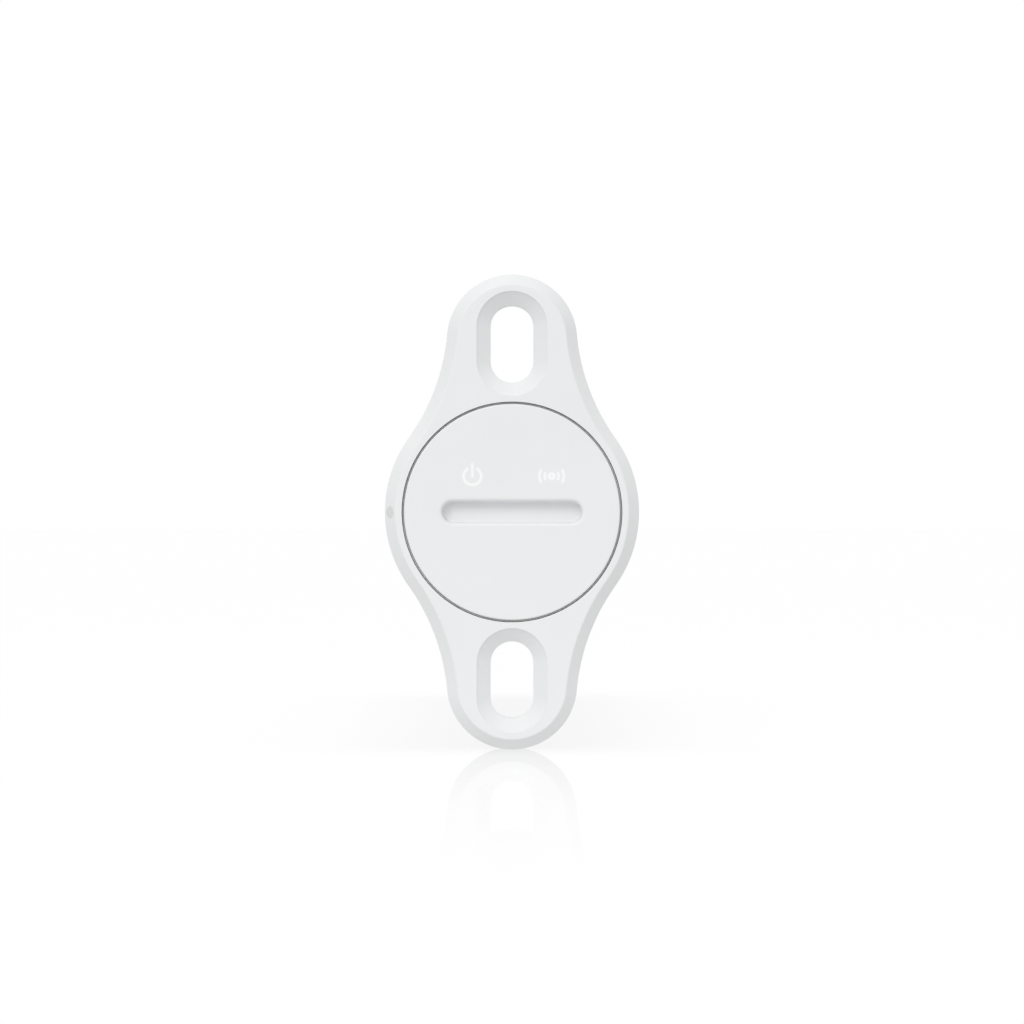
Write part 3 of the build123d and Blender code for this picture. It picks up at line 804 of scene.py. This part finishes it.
# %% The face cap in one closed mesh
DISC_BACK, STEP_BACK = 1.6, 1.0
STEP_R, SKIRT_R, SKIRT_BORE_R = 10.15, 9.1, 8.1
LUG_TOP, LUG_STEPS, LUG_R, LUG_FIRST, LUG_WIDTH = -0.4, 16, 9.95, 332.0, 32.0
COIN_HALF, COIN_R, COIN_DRAFT, COIN_FLOOR, COIN_LIP = 5.92, 1.08, 0.08, 2.2, 0.36
SCREW_X, BOSS_R, BOSS_END, SCREW_R, SCREW_END = 5.0, 1.4, -1.0, 0.6, 1.5
LIGHT_X, LIGHT_Y, POCKET_R, POCKET_END = 3.95, 3.58, 1.6, 3.0
ROUND_STEPS = 48


def build_cap():
    """Disc, coin slot, seal step, threaded skirt, bosses and the pockets of the light guides."""
    bm = bmesh.new()
    coin = [(COIN_R + 0.5, PLATE_T, 0), (COIN_R, PLATE_T, COIN_LIP)]
    coin += [(COIN_R - COIN_DRAFT, COIN_FLOOR, 0.18), (0.5, COIN_FLOOR, 0)]
    loft(bm, slot, soften(coin), (0, 0), COIN_HALF, False)
    rim = [(DISC_R - 0.4, PLATE_T, 0), (DISC_R, PLATE_T, 0.15), (DISC_R, DISC_BACK, 0.08)]
    rim += [(STEP_R, DISC_BACK, 0.04), (STEP_R, STEP_BACK, 0.08), (SKIRT_R, STEP_BACK, 0.04)]
    profile = soften(rim + [(SKIRT_R, LUG_TOP, 0)])
    ring = follow(bm, circle(bm, *profile[0]), profile)
    cover(bm, COIN_FLOOR)
    cover(bm, PLATE_T)
    ring = thread(bm, ring, LUG_STEPS, LUG_FIRST, LUG_WIDTH, LUG_R)
    low = LUG_TOP - LUG_STEPS * STEP
    skirt = [(SKIRT_R, low, 0), (SKIRT_R, CAP_BACK, 0.12), (SKIRT_BORE_R, CAP_BACK, 0.12)]
    follow(bm, ring, soften(skirt + [(SKIRT_BORE_R, DISC_BACK, 0)]))
    for side in (1, -1):
        boss = [(BOSS_R, DISC_BACK, 0), (BOSS_R, BOSS_END, 0.1), (SCREW_R, BOSS_END, 0.06)]
        boss = soften(boss + [(SCREW_R, SCREW_END, 0)])
        well = [(POCKET_R, DISC_BACK), (POCKET_R, POCKET_END)]
        loft(bm, circle, boss, (side * SCREW_X, 0), 0.0, ROUND_STEPS)
        loft(bm, circle, well, (side * LIGHT_X, LIGHT_Y), 0.0, ROUND_STEPS)
    for height in (SCREW_END, POCKET_END, DISC_BACK):
        cover(bm, height)
    new_piece("cap_moulding", bm, "pod", cap_plastic, "face_cap")


build_cap()

# %% [markdown]
# ## The index dot and the seal
# The grey dot marks the left side, and is a plug pressed into the broad chamfer. It is made on
# the bench as a low dome, then tipped square to the chamfer. The face seal is squeezed between
# the disc and the shelf. A thin lip of it stands in the gap round the disc, 0.45 mm below the
# face, and keeps dust out, which is why the gap looks grey and not black.

# %% Dot and seal
DOT_R, DOT_RISE, DOT_SUNK = 0.6, 0.03, 0.3
SEAL_IN, SEAL_LOW, SEAL_TOP, SEAL_ROUND = 10.2, 0.93, 1.57, 0.22
LIP_IN, LIP_OUT, LIP_TOP, LIP_ROUND = 10.82, 10.95, 3.15, 0.04

grey_plastic = plastic("grey_plastic", (0.69, 0.695, 0.695), roughness=0.45)


def build_dot():
    """A low dome with a short stem, on the middle of the left chamfer."""
    bm = bmesh.new()
    stem = [(DOT_R, -DOT_SUNK), (DOT_R, -0.01)]
    stem += [(DOT_R - 0.03, 0.6 * DOT_RISE), (0.5 * DOT_R, DOT_RISE)]
    loft(bm, circle, stem, (0, 0), 0.0, ROUND_STEPS)
    cover(bm, -DOT_SUNK)
    cover(bm, DOT_RISE)
    slope = Matrix.Rotation(math.atan2(EDGE_W, EDGE_D) - math.pi / 2, 4, "Y")
    middle = Matrix.Translation((-(MIDDLE_R - EDGE_W / 2), 0, PLATE_T - EDGE_D / 2))
    bmesh.ops.transform(bm, matrix=middle @ slope, verts=bm.verts)
    new_piece("dot_plug", bm, "housing", grey_plastic, "index_dot")


def spin_round(bm, verts, axis, middle, steps, is_closed=False):
    """Joins a row of vertices to a section and spins it once round an axis."""
    edges = [bm.edges.new(pair) for pair in zip(verts, verts[1:])]
    if is_closed:
        edges.append(bm.edges.new((verts[-1], verts[0])))
    turn = {"axis": axis, "cent": middle, "angle": 2 * math.pi}
    bmesh.ops.spin(bm, geom=edges, steps=steps, use_merge=True, **turn)
    bmesh.ops.remove_doubles(bm, verts=bm.verts, dist=LEVEL)


def turn_on_axis(name, corners, body, material, node, centre=(0, 0), steps=120):
    """Spins a section of (reach, height, radius) corners about an upright axis."""
    bm = bmesh.new()
    is_closed = corners[0] == corners[-1]
    verts = [bm.verts.new((x, 0, y)) for x, y in soften(corners)[is_closed:]]
    spin_round(bm, verts, (0, 0, 1), (0, 0, 0), steps, is_closed)
    bmesh.ops.translate(bm, vec=(*centre, 0), verts=bm.verts)
    new_piece(name, bm, body, material, node)


build_dot()
seal_rubber = plastic("seal_rubber", (0.62, 0.625, 0.63), roughness=0.55)
section = [(LIP_IN, SEAL_LOW, 0), (LIP_OUT, SEAL_LOW, LIP_ROUND), (LIP_OUT, LIP_TOP, LIP_ROUND)]
section += [(LIP_IN, LIP_TOP, LIP_ROUND), (LIP_IN, SEAL_TOP, 0), (SEAL_IN, SEAL_TOP, SEAL_ROUND)]
section += [(SEAL_IN, SEAL_LOW, SEAL_ROUND), (LIP_IN, SEAL_LOW, 0)]
turn_on_axis("face_seal", section, "seal", seal_rubber, "seal_ring")

# %% [markdown]
# ## The cell
# A lithium cell stands in the barrel, positive end towards the door. Its parts are all round, so
# each is a section with rounded corners, spun about the axis: the can with its rolled rim, the
# shrink sleeve, the washer and the pressed cap. A steel can is rolled, which leaves fine lines
# along it, and the sleeve is a glossy film with a dark band at the positive end.

# %% Metal and film
def metal(name, colour, roughness, size=0.00025, stretch=(1, 1, 1)):
    """Bare or plated metal; stretch draws its grain out along an axis."""
    return plain_finish(name, colour, roughness, size, 0.000004, {"Metallic": 1.0}, 0.05, stretch)


BAND_START, BAND_LINE = 15.5, 17.0


def film():
    """A light film with a dark band near the front end and a fine seam."""
    wire = Finish("sleeve_film", 0.3, 0.0006, 0.00001)
    depth = wire.split(wire.place)["Y"]
    band = wire.ramp(depth, BAND_START * MM, (BAND_START + 0.15) * MM, 1.0, 0.0)
    line = wire.ramp(wire.distance(depth, BAND_LINE * MM), 0.2 * MM, 0.3 * MM, 1.0, 0.0)
    body = wire.mix(wire.drift, (0.52, 0.54, 0.56, 1), (0.58, 0.60, 0.62, 1))
    colour = wire.mix(wire.math("MAXIMUM", band, line), body, (0.035, 0.06, 0.11, 1))
    return wire.shade({"Base Color": colour, "Coat Weight": 0.4})


cell_steel = metal("cell_steel", (0.62, 0.62, 0.61), 0.3, stretch=(8, 1, 8))
nickel = metal("nickel", (0.66, 0.63, 0.58), 0.28)
sleeve_film = film()
black_plastic = plastic("black_plastic", (0.025, 0.025, 0.028), roughness=0.45)

# %% Spin the parts of the cell
CELL_R, SLEEVE_T = 7.8, 0.15
CELL_TOP, CAN_TOP, CELL_BOTTOM = -8.6, -9.4, -35.6
CAN_R = CELL_R - SLEEVE_T
SLEEVE_TOP = CAN_TOP - 0.4
can = [(0, CELL_BOTTOM, 0), (5.6, CELL_BOTTOM, 0.3), (5.9, CELL_BOTTOM + 0.2, 0.1)]
can += [(6.3, CELL_BOTTOM, 0.2), (CAN_R, CELL_BOTTOM, 0.5), (CAN_R, CAN_TOP, 0.35), (0, CAN_TOP, 0)]
tube = [(CAN_R, CELL_BOTTOM, 0), (CELL_R, CELL_BOTTOM, 0.05), (CELL_R, SLEEVE_TOP, 0.06)]
tube += [(CAN_R, SLEEVE_TOP, 0), (CAN_R, CELL_BOTTOM, 0)]
high = CAN_TOP + 0.15
washer = [(4.6, CAN_TOP, 0), (6.4, CAN_TOP, 0.03), (6.4, high, 0.04), (4.6, high, 0.03)]
washer += washer[:1]
high = CAN_TOP + 0.2
nub = [(0, CAN_TOP, 0), (4.5, CAN_TOP, 0.04), (4.5, high, 0.06), (3.0, high, 0.12)]
high = CELL_TOP - 0.06
nub += [(2.96, CELL_TOP, 0.2), (1.6, CELL_TOP, 0.2), (1.3, high, 0.1), (0, high, 0)]
turn_on_axis("cell_body", can, "housing", cell_steel, "cell_can")
turn_on_axis("cell_film", tube, "housing", sleeve_film, "cell_sleeve")
turn_on_axis("cell_washer", washer, "housing", black_plastic, "cell_gasket")
turn_on_axis("cell_nub", nub, "housing", nickel, "cell_positive_cap")

# %% [markdown]
# ## Round wire: the spring and the reed's leads
# A conical spring presses the cell forwards. It could be a curve with a round bevel, but a wire
# drawn with bmesh stays one plain mesh: a small circle is extruded from station to station, and
# each step moves and turns the new ring as the wire's direction turns, so it never twists.

# %% Extrude a circle along stations
def wire_along(bm, stations, radius, sides=12):
    """Extrudes a circle through a list of places, square to the way ahead."""
    ahead = [(b - a).normalized() for a, b in zip(stations, stations[1:])]
    ways = [ahead[0]] + [(a + b).normalized() for a, b in zip(ahead, ahead[1:])] + [ahead[-1]]
    lean = Vector((0, 0, 1)).rotation_difference(ways[0]).to_matrix().to_4x4()
    first = Matrix.Translation(stations[0]) @ lean
    made = bmesh.ops.create_circle(bm, segments=sides, radius=radius, matrix=first)
    ring = chain(made["verts"][0])
    ends = list(ring)
    for i in range(len(stations) - 1):
        turn = ways[i].rotation_difference(ways[i + 1]).to_matrix().to_4x4()
        step = Matrix.Translation(stations[i + 1]) @ turn @ Matrix.Translation(-stations[i])
        made = bmesh.ops.extrude_edge_only(bm, edges=ring)["geom"]
        bmesh.ops.transform(bm, matrix=step, verts=only(VERT, made))
        ring = only(EDGE, made)
    bmesh.ops.holes_fill(bm, edges=ends + ring, sides=0)


SPRING_TURNS, SPRING_WIRE_R = 2.5, 0.3
SPRING_LOW_R, SPRING_HIGH_R = 5.0, 2.3
SPRING_LOW, SPRING_HIGH = BARREL_FLOOR + 0.6, CELL_BOTTOM - SPRING_WIRE_R


def spring_station(share):
    """The place on the conical helix after a share of its turns."""
    reach = SPRING_LOW_R + (SPRING_HIGH_R - SPRING_LOW_R) * share
    x, y = at(reach, 360 * SPRING_TURNS * share)
    return Vector((x, y, SPRING_LOW + (SPRING_HIGH - SPRING_LOW) * share))


def build_spring():
    """The conical spring between the strap and the cell."""
    bm = bmesh.new()
    steps = round(40 * SPRING_TURNS)
    stations = [spring_station(i / steps) for i in range(steps + 1)]
    wire_along(bm, stations, SPRING_WIRE_R - 0.01)
    new_piece("cell_spring", bm, "housing", nickel, "negative_spring")


build_spring()

# %% [markdown]
# ## The reed switch
# A reed switch is two springy blades sealed in a glass tube. The tube's ends are melted round the
# wires, so it is a capsule with full round ends. It lies across the board, and is spun about its
# own length. The blades overlap in the middle, flat, and become round wires outside the glass.

# %% Glass capsule, blades and leads
REED_Y, REED_H, REED_R, REED_HALF = -3.2, 0.2, 0.9, 3.9
LEAD_BEND, LEAD_R = 5.2, 0.21
BOARD_FRONT, BOARD_BACK = -1.0, -1.8


def glass(name, colour, roughness):
    """Clear glass or resin, tinted a little, with faint ripples."""
    clear = {"Transmission Weight": 1.0, "IOR": 1.49}
    return plain_finish(name, colour, roughness, 0.0009, 0.000006, clear, 0.01)


def build_capsule():
    """A section from end to end, spun about the capsule's own axis."""
    bm = bmesh.new()
    rim = [(0, -REED_HALF, 0), (REED_R, -REED_HALF, 0.75), (REED_R, REED_HALF, 0.75)]
    rim = soften(rim + [(0, REED_HALF, 0)])
    verts = [bm.verts.new((along, REED_Y, REED_H + reach)) for reach, along in rim]
    spin_round(bm, verts, (1, 0, 0), (0, REED_Y, REED_H), ROUND_STEPS)
    new_piece("reed_capsule", bm, "pod", reed_glass, "reed_glass")


def build_leads():
    """Two blades inside the glass and two round leads, bent down on to the board."""
    bm = bmesh.new()
    size = Matrix.Diagonal((3.2, 0.7, 0.12, 1))
    for side in (1, -1):
        bend = soften([(2.6, REED_H, 0), (LEAD_BEND, REED_H, 0.5), (LEAD_BEND, BOARD_FRONT, 0)])
        wire_along(bm, [Vector((side * x, REED_Y, z)) for x, z in bend], LEAD_R)
        place = Matrix.Translation((side * 1.1, REED_Y, REED_H + side * 0.09))
        blade = bmesh.ops.create_cube(bm, size=1.0, matrix=place @ size)["verts"]
        soft = {"offset": 0.03, "segments": 2, "profile": 0.5, "affect": "EDGES", "material": -1}
        bmesh.ops.bevel(bm, geom=list({e for v in blade for e in v.link_edges}), **soft)
    new_piece("reed_blades", bm, "pod", nickel, "reed_leads")


reed_glass = glass("reed_glass", (0.86, 0.93, 0.88), 0.11)
build_capsule()
build_leads()

# %% [markdown]
# ## Light guides, key and plunger
# Each light guide is a clear plug that narrows towards its lamp, so that the light enters at a
# small face and leaves under the whole sign. The pairing key has a dished top for a fingertip or
# a pen, and a collar that keeps it in the cover.

# %% Spin the guides, the key and the plunger
SWITCH_Y, KEY_R, KEY_TOP, KEY_COLLAR = 4.9, 1.5, -7.8, -6.35
clear_plastic = glass("clear_plastic", (0.94, 0.95, 0.96), 0.17)
button_plastic = plastic("button_plastic", (0.30, 0.33, 0.36), roughness=0.4)
guide = [(0, -0.3, 0), (0.9, -0.3, 0.08), (1.55, 1.2, 0.15), (1.55, 2.95, 0.08), (0, 2.95, 0)]
for sign, side in (("power", -1), ("wireless", 1)):
    node, centre = sign + "_light_guide", (side * LIGHT_X, LIGHT_Y)
    turn_on_axis(sign + "_guide", guide, "pod", clear_plastic, node, centre, 60)
wide, deep = KEY_R + 0.4, KEY_COLLAR + 0.6
key = [(0, KEY_TOP + 0.15, 0), (0.8, KEY_TOP + 0.12, 0.6), (1.2, KEY_TOP, 0.1)]
key += [(KEY_R, KEY_TOP, 0.12), (KEY_R, KEY_COLLAR, 0.05), (wide, KEY_COLLAR, 0.08)]
key += [(wide, deep, 0.08), (0.9, deep, 0.05), (0.9, -3.55, 0.1), (0, -3.55, 0)]
stem = [(0, -3.55, 0), (0.8, -3.55, 0.12), (0.8, -2.8, 0.08), (0, -2.8, 0)]
pressed = "pair_button", button_plastic
turn_on_axis("pairing_key", key, *pressed, "pair_button", (0, SWITCH_Y), 60)
turn_on_axis("key_plunger", stem, *pressed, "switch_plunger", (0, SWITCH_Y), 48)

# %% [markdown]
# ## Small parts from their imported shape
# The board, the contacts and the other small parts already have the right shape, but a packed
# mesh is loose triangles with knife edges. A copy is merged, its flat faces are joined again, and
# a Bevel modifier rounds its edges, so that they catch light as stamped, pressed and moulded
# edges do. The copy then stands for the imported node.

# %% Merge, join and bevel a copy
MERGE, FLATTEN = 0.002, math.radians(1)


def clean_copy(node, name, material, width, body="pod"):
    """A merged copy of a node with soft edges, width in millimetres."""
    bm = bmesh.new()
    bm.from_mesh(bpy.data.objects[node].data)
    bmesh.ops.transform(bm, matrix=STAND_UP.inverted(), verts=bm.verts)
    bmesh.ops.remove_doubles(bm, verts=bm.verts, dist=MERGE)
    bmesh.ops.dissolve_limit(bm, angle_limit=FLATTEN, verts=bm.verts, edges=bm.edges)
    soft = new_piece(name, bm, body, material, node).modifiers.new("soft_edges", "BEVEL")
    soft.width = width * MM
    soft.segments = 2
    soft.limit_method = "ANGLE"
    soft.angle_limit = SHARP
    soft.harden_normals = True


cover_plastic = plastic("cover_plastic", (0.70, 0.71, 0.72), roughness=0.55)
clean_copy("rear_cover", "back_cover", cover_plastic, 0.1)
clean_copy("light_shroud", "light_tubes", black_plastic, 0.06)
clean_copy("switch_base", "switch_body", black_plastic, 0.08)

# %% [markdown]
# ## Pressed and plated metal
# The contacts carry a thin layer of gold over nickel so that they don't tarnish, the shield and
# the crystal's can are tinned or nickel silver, and the screws are zinc plated. Each differs in
# colour, in gloss and in the size of its grain, and all use the one metal recipe.

# %% Contacts, strap, antenna, shield, crystal and screws
gold_contact = metal("gold_contact", (0.83, 0.62, 0.30), 0.25)
tinplate = metal("tinplate", (0.70, 0.71, 0.70), 0.38, 0.0004)
screw_steel = metal("screw_steel", (0.55, 0.55, 0.56), 0.35)
clean_copy("positive_contact", "positive_leaf", gold_contact, 0.05)
clean_copy("negative_contact", "negative_ring", gold_contact, 0.05)
clean_copy("negative_strap", "bore_strap", nickel, 0.05, "housing")
clean_copy("antenna", "aerial", gold_contact, 0.05)
clean_copy("shield_can", "shield", tinplate, 0.12)
clean_copy("crystal", "crystal_can", tinplate, 0.12)
clean_copy("board_screws", "screws", screw_steel, 0.06)

# %% [markdown]
# ## The board and what is soldered to it
# A board is woven glass and resin under a green mask. Copper tracks show through the mask as
# lighter lines, and small plated holes as gold dots. Both come from procedural patterns: a brick
# texture whose mortar is the tracks, and a cell texture whose centres are the holes. The cut
# edge has no mask on it and shows the straw colour of the laminate.

# %% Mask, tracks and plated holes
TRACK_SIZE, HOLE_SIZE = 1.3, 2.4


def board_finish():
    """Green mask over woven glass, with tracks and plated holes."""
    wire = Finish("board_laminate", 0.35, 0.0003, 0.00001)
    lay_flat = {"Vector": wire.place, "Rotation": (math.radians(-90), 0, 0)}
    flat = wire.node("Mapping", lay_flat).outputs[0]
    depth = wire.split(wire.place)["Y"]
    from_front = wire.ramp(depth, -(BOARD_FRONT - 0.03) * MM, -(BOARD_FRONT - 0.06) * MM)
    from_back = wire.ramp(depth, -(BOARD_BACK + 0.03) * MM, -(BOARD_BACK + 0.06) * MM)
    edge = wire.product(from_front, from_back)
    face = wire.math("SUBTRACT", 1.0, edge)
    size = 1 / (TRACK_SIZE * MM)
    bricks = wire.node("TexBrick", {"Vector": flat, "Scale": size, "Mortar Size": 0.06})
    tracks = wire.product(bricks.outputs["Fac"], face)
    cells = wire.node("TexVoronoi", {"Vector": flat, "Scale": 1 / (HOLE_SIZE * MM)})
    holes = wire.product(wire.ramp(cells.outputs["Distance"], 0.09, 0.13, 1.0, 0.0), face)
    mask = wire.mix(wire.drift, (0.012, 0.09, 0.035, 1), (0.02, 0.12, 0.05, 1))
    mask = wire.mix(edge, mask, (0.34, 0.33, 0.17, 1))
    copper = wire.mix(tracks, mask, (0.05, 0.20, 0.07, 1))
    gold = wire.mix(holes, copper, (0.75, 0.55, 0.25, 1))
    wire.feed(wire.bump, {"Height": wire.math("MAXIMUM", tracks, holes)})
    return wire.shade({"Base Color": gold, "Metallic": holes})


board_laminate = board_finish()
clean_copy("circuit_board", "board", board_laminate, 0.04)

# %% [markdown]
# ## Soldered parts
# The radio chip is black epoxy with a small round mark at its first pin. The chip parts are
# ceramic with tinned ends, and their ends are a mask on the height across each row. The round
# capacitor is bare aluminium on a black foot, and the lamps are milky resin.

# %% Chip, ceramic parts, capacitor and lamps
ROW_Y, END_HALF = 2.2, 0.27


def ceramic_finish():
    """Ceramic bodies with tinned ends."""
    wire = Finish("ceramic_chip", 0.4, 0.0001, 0.000005)
    off = wire.distance(wire.split(wire.place)["Z"], ROW_Y * MM)
    tinned = wire.ramp(off, END_HALF * MM, (END_HALF + 0.03) * MM)
    body = wire.mix(wire.drift, (0.24, 0.15, 0.08, 1), (0.34, 0.22, 0.12, 1))
    colour = wire.mix(tinned, body, (0.72, 0.72, 0.70, 1))
    return wire.shade({"Base Color": colour, "Metallic": tinned})


def chip_finish():
    """Black epoxy with a round mark at the first pin."""
    wire = Finish("chip_resin", 0.55, 0.00012, 0.000008)
    first_pin = {0: wire.place, 1: (-1.5 * MM, 2.6 * MM, -2.5 * MM)}
    corner = wire.node("VectorMath", first_pin, operation="DISTANCE")
    mark = wire.ramp(corner.outputs["Value"], 0.2 * MM, 0.24 * MM, 1.0, 0.0)
    body = wire.mix(wire.drift, (0.017, 0.017, 0.019, 1), (0.026, 0.026, 0.028, 1))
    return wire.shade({"Base Color": wire.mix(mark, body, (0.16, 0.16, 0.16, 1))})


ceramic_chip = ceramic_finish()
chip_resin = chip_finish()
capacitor_can = metal("capacitor_can", (0.75, 0.76, 0.77), 0.22, 0.0005)
lamp_resin = plastic("lamp_resin", (0.80, 0.78, 0.62), roughness=0.3)
clean_copy("chip_parts", "ceramic_row", ceramic_chip, 0.05)
clean_copy("radio_chip", "radio", chip_resin, 0.06)
clean_copy("bulk_capacitor", "round_capacitor", capacitor_can, 0.14)
clean_copy("status_lamps", "lamps", lamp_resin, 0.08)

# %% [markdown]
# ## The floor
# The sensor stands on its lower ear on a pale glossy table. To the camera the table is the same
# white as the background, with a faint shadow and a mirror image that fades away from the
# object. The shadow is partly real and partly painted. The photograph has no dark line where the
# ear touches, so the table shines a little itself, and it shines a little less round the ear and
# behind it: a painted shadow, the wide soft patch of grey that the photograph has. To every
# other ray it is a light table under the lower edges.

# %% A pale table with a fading mirror image
FLOOR_Z = -PLATE_TOP * MM
MIRROR_NEAR, MIRROR_FAR, MIRROR_SHARE = -0.004, -0.105, 0.34
MIRROR_FALL, MIRROR_BLUR = 1.6, 0.03
# The dimmer and the patch sizes make a painted shadow on the table; SHADE is the share of its real
# shadow.
SHADE, LEVEL_SEEN, SHADOW_DIMMER = 0.08, 0.919, 0.105
SHADOW_PATCH_HALF, SHADOW_PATCH_FRONT, SHADOW_PATCH_BACK = 0.0145, (-0.011, 0.002), (0.082, 0.062)
TABLE_NEAR, TABLE_FAR, TABLE_REACH = 0.75, 0.484, (0.22, 0.03)


def table_finish():
    """White with a faint shadow, part real and part painted, and a fading mirror for the camera; a
    light table for the rest.
    """
    material = bpy.data.materials.new("table")
    material.use_nodes = True
    material.node_tree.nodes.clear()
    wire = Wiring(material.node_tree)
    white, shade = (1, 1, 1, 1), (SHADE, SHADE, SHADE, 1)
    place = wire.node("TexCoord").outputs["Object"]
    across, depth, _ = wire.split(place)
    near = wire.ramp(depth, MIRROR_FAR, MIRROR_NEAR, 0.0, 1.0, kind="LINEAR")
    mirror = wire.product(wire.math("POWER", near, MIRROR_FALL), MIRROR_SHARE)
    # A painted shadow: the table's own glow is dimmed in a soft patch round the ear and behind it.
    off = wire.math("DIVIDE", across, SHADOW_PATCH_HALF)
    painted_shadow = wire.math("EXPONENT", wire.product(off, off, -1.0))
    painted_shadow = wire.product(painted_shadow, wire.ramp(depth, *SHADOW_PATCH_FRONT), wire.ramp(depth, *SHADOW_PATCH_BACK))
    level = wire.math("MULTIPLY_ADD", painted_shadow, -SHADOW_DIMMER, LEVEL_SEEN)
    away = wire.node("VectorMath", {0: place}, operation="LENGTH").outputs["Value"]
    path = wire.node("LightPath").outputs
    plain = wire.math("MAXIMUM", path["Is Glossy Ray"], path["Is Transmission Ray"])
    glow = wire.math("MAXIMUM", plain, wire.ramp(away, *TABLE_REACH, TABLE_FAR, TABLE_NEAR))

    def shader(kind, values):
        return wire.node(kind, values).outputs[0]

    shaded = shader("BsdfDiffuse", {"Color": shade})
    shone = shader("Emission", {"Color": white, "Strength": level})
    gloss = shader("BsdfGlossy", {"Color": white, "Roughness": MIRROR_BLUR})
    lit = shader("Emission", {"Color": white, "Strength": glow})
    seen = shader("MixShader", {0: mirror, 1: shader("AddShader", {0: shaded, 1: shone}), 2: gloss})
    both = shader("MixShader", {0: path["Is Camera Ray"], 1: lit, 2: seen})
    wire.node("OutputMaterial", {"Surface": both})
    return material


bm = bmesh.new()
ground = Matrix.Translation((0, 0, FLOOR_Z))
bmesh.ops.create_grid(bm, x_segments=1, y_segments=1, size=3.0, matrix=ground)
table = put_in_scene("table", mesh_from(bm, "table"))
table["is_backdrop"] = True
table.data.materials.append(table_finish())

# %% [markdown]
# ## Light and camera
# The photograph has almost shadowless light: a bright tent all round, with one soft lamp in
# front, above and a little to the left. Each light was rendered alone, and the strengths were then
# solved so that the chamfers and the countersinks get the photograph's tones. The tent came out
# nearly even: a little brighter in front and behind, a little darker at its sides. The camera
# stands level with the object and looks straight at it.

# %% The tent, the soft lamp and the camera
ROOF, SIDES, WALLS = 0.83, -0.25, 0.33
KEY_PLACE, KEY_SIZE, KEY_POWER = (-0.22, -0.6, 0.48), 0.35, 1.76
LENS, CAMERA_AWAY = 90, 0.2586


def tent():
    """World light: white for the camera and for reflections, a soft tent for the surfaces."""
    world = bpy.data.worlds.new("tent")
    world.use_nodes = True
    bpy.context.scene.world = world
    wire = Wiring(world.node_tree)
    across, deep, _ = wire.split(wire.node("TexCoord").outputs["Generated"])
    sides = wire.math("MULTIPLY_ADD", wire.product(across, across), SIDES, ROOF)
    soft = wire.math("MULTIPLY_ADD", wire.product(deep, deep), WALLS, sides)
    path = wire.node("LightPath").outputs
    plain = wire.math("MAXIMUM", path["Is Camera Ray"], path["Is Glossy Ray"])
    plain = wire.math("MAXIMUM", plain, path["Is Transmission Ray"])
    strength = wire.node("Mix", {"Factor": plain, "A": soft, "B": 1.0}, data_type="FLOAT")
    back = world.node_tree.nodes["Background"]
    wire.feed(back, {"Strength": strength.outputs[0], "Color": (1, 1, 1, 1)})


def lamp(name, place, size, power):
    """A square area lamp that faces the object."""
    data = bpy.data.lights.new(name, "AREA")
    data.size = size
    data.energy = power
    made = put_in_scene(name, data)
    made.location = place
    made.rotation_euler = (-Vector(place)).to_track_quat("-Z", "Y").to_euler()


tent()
lamp("key_lamp", KEY_PLACE, KEY_SIZE, KEY_POWER)
camera_data = bpy.data.cameras.new("camera")
camera_data.lens = LENS
camera = put_in_scene("camera", camera_data)
camera.location = (0, -CAMERA_AWAY, 0)
camera.rotation_euler = (math.radians(90), 0, 0)
bpy.context.scene.camera = camera
bpy.context.scene.view_settings.view_transform = "Standard"

# %% [markdown]
# ## Finish
# The box of the visual model is printed, in millimetres. The box of the visual model must stay
# inside the engineering model's box.

# %% Print the visual model's box
low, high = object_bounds()
print("visual box in mm", [round(1000 * v, 2) for v in (*low, *high)])
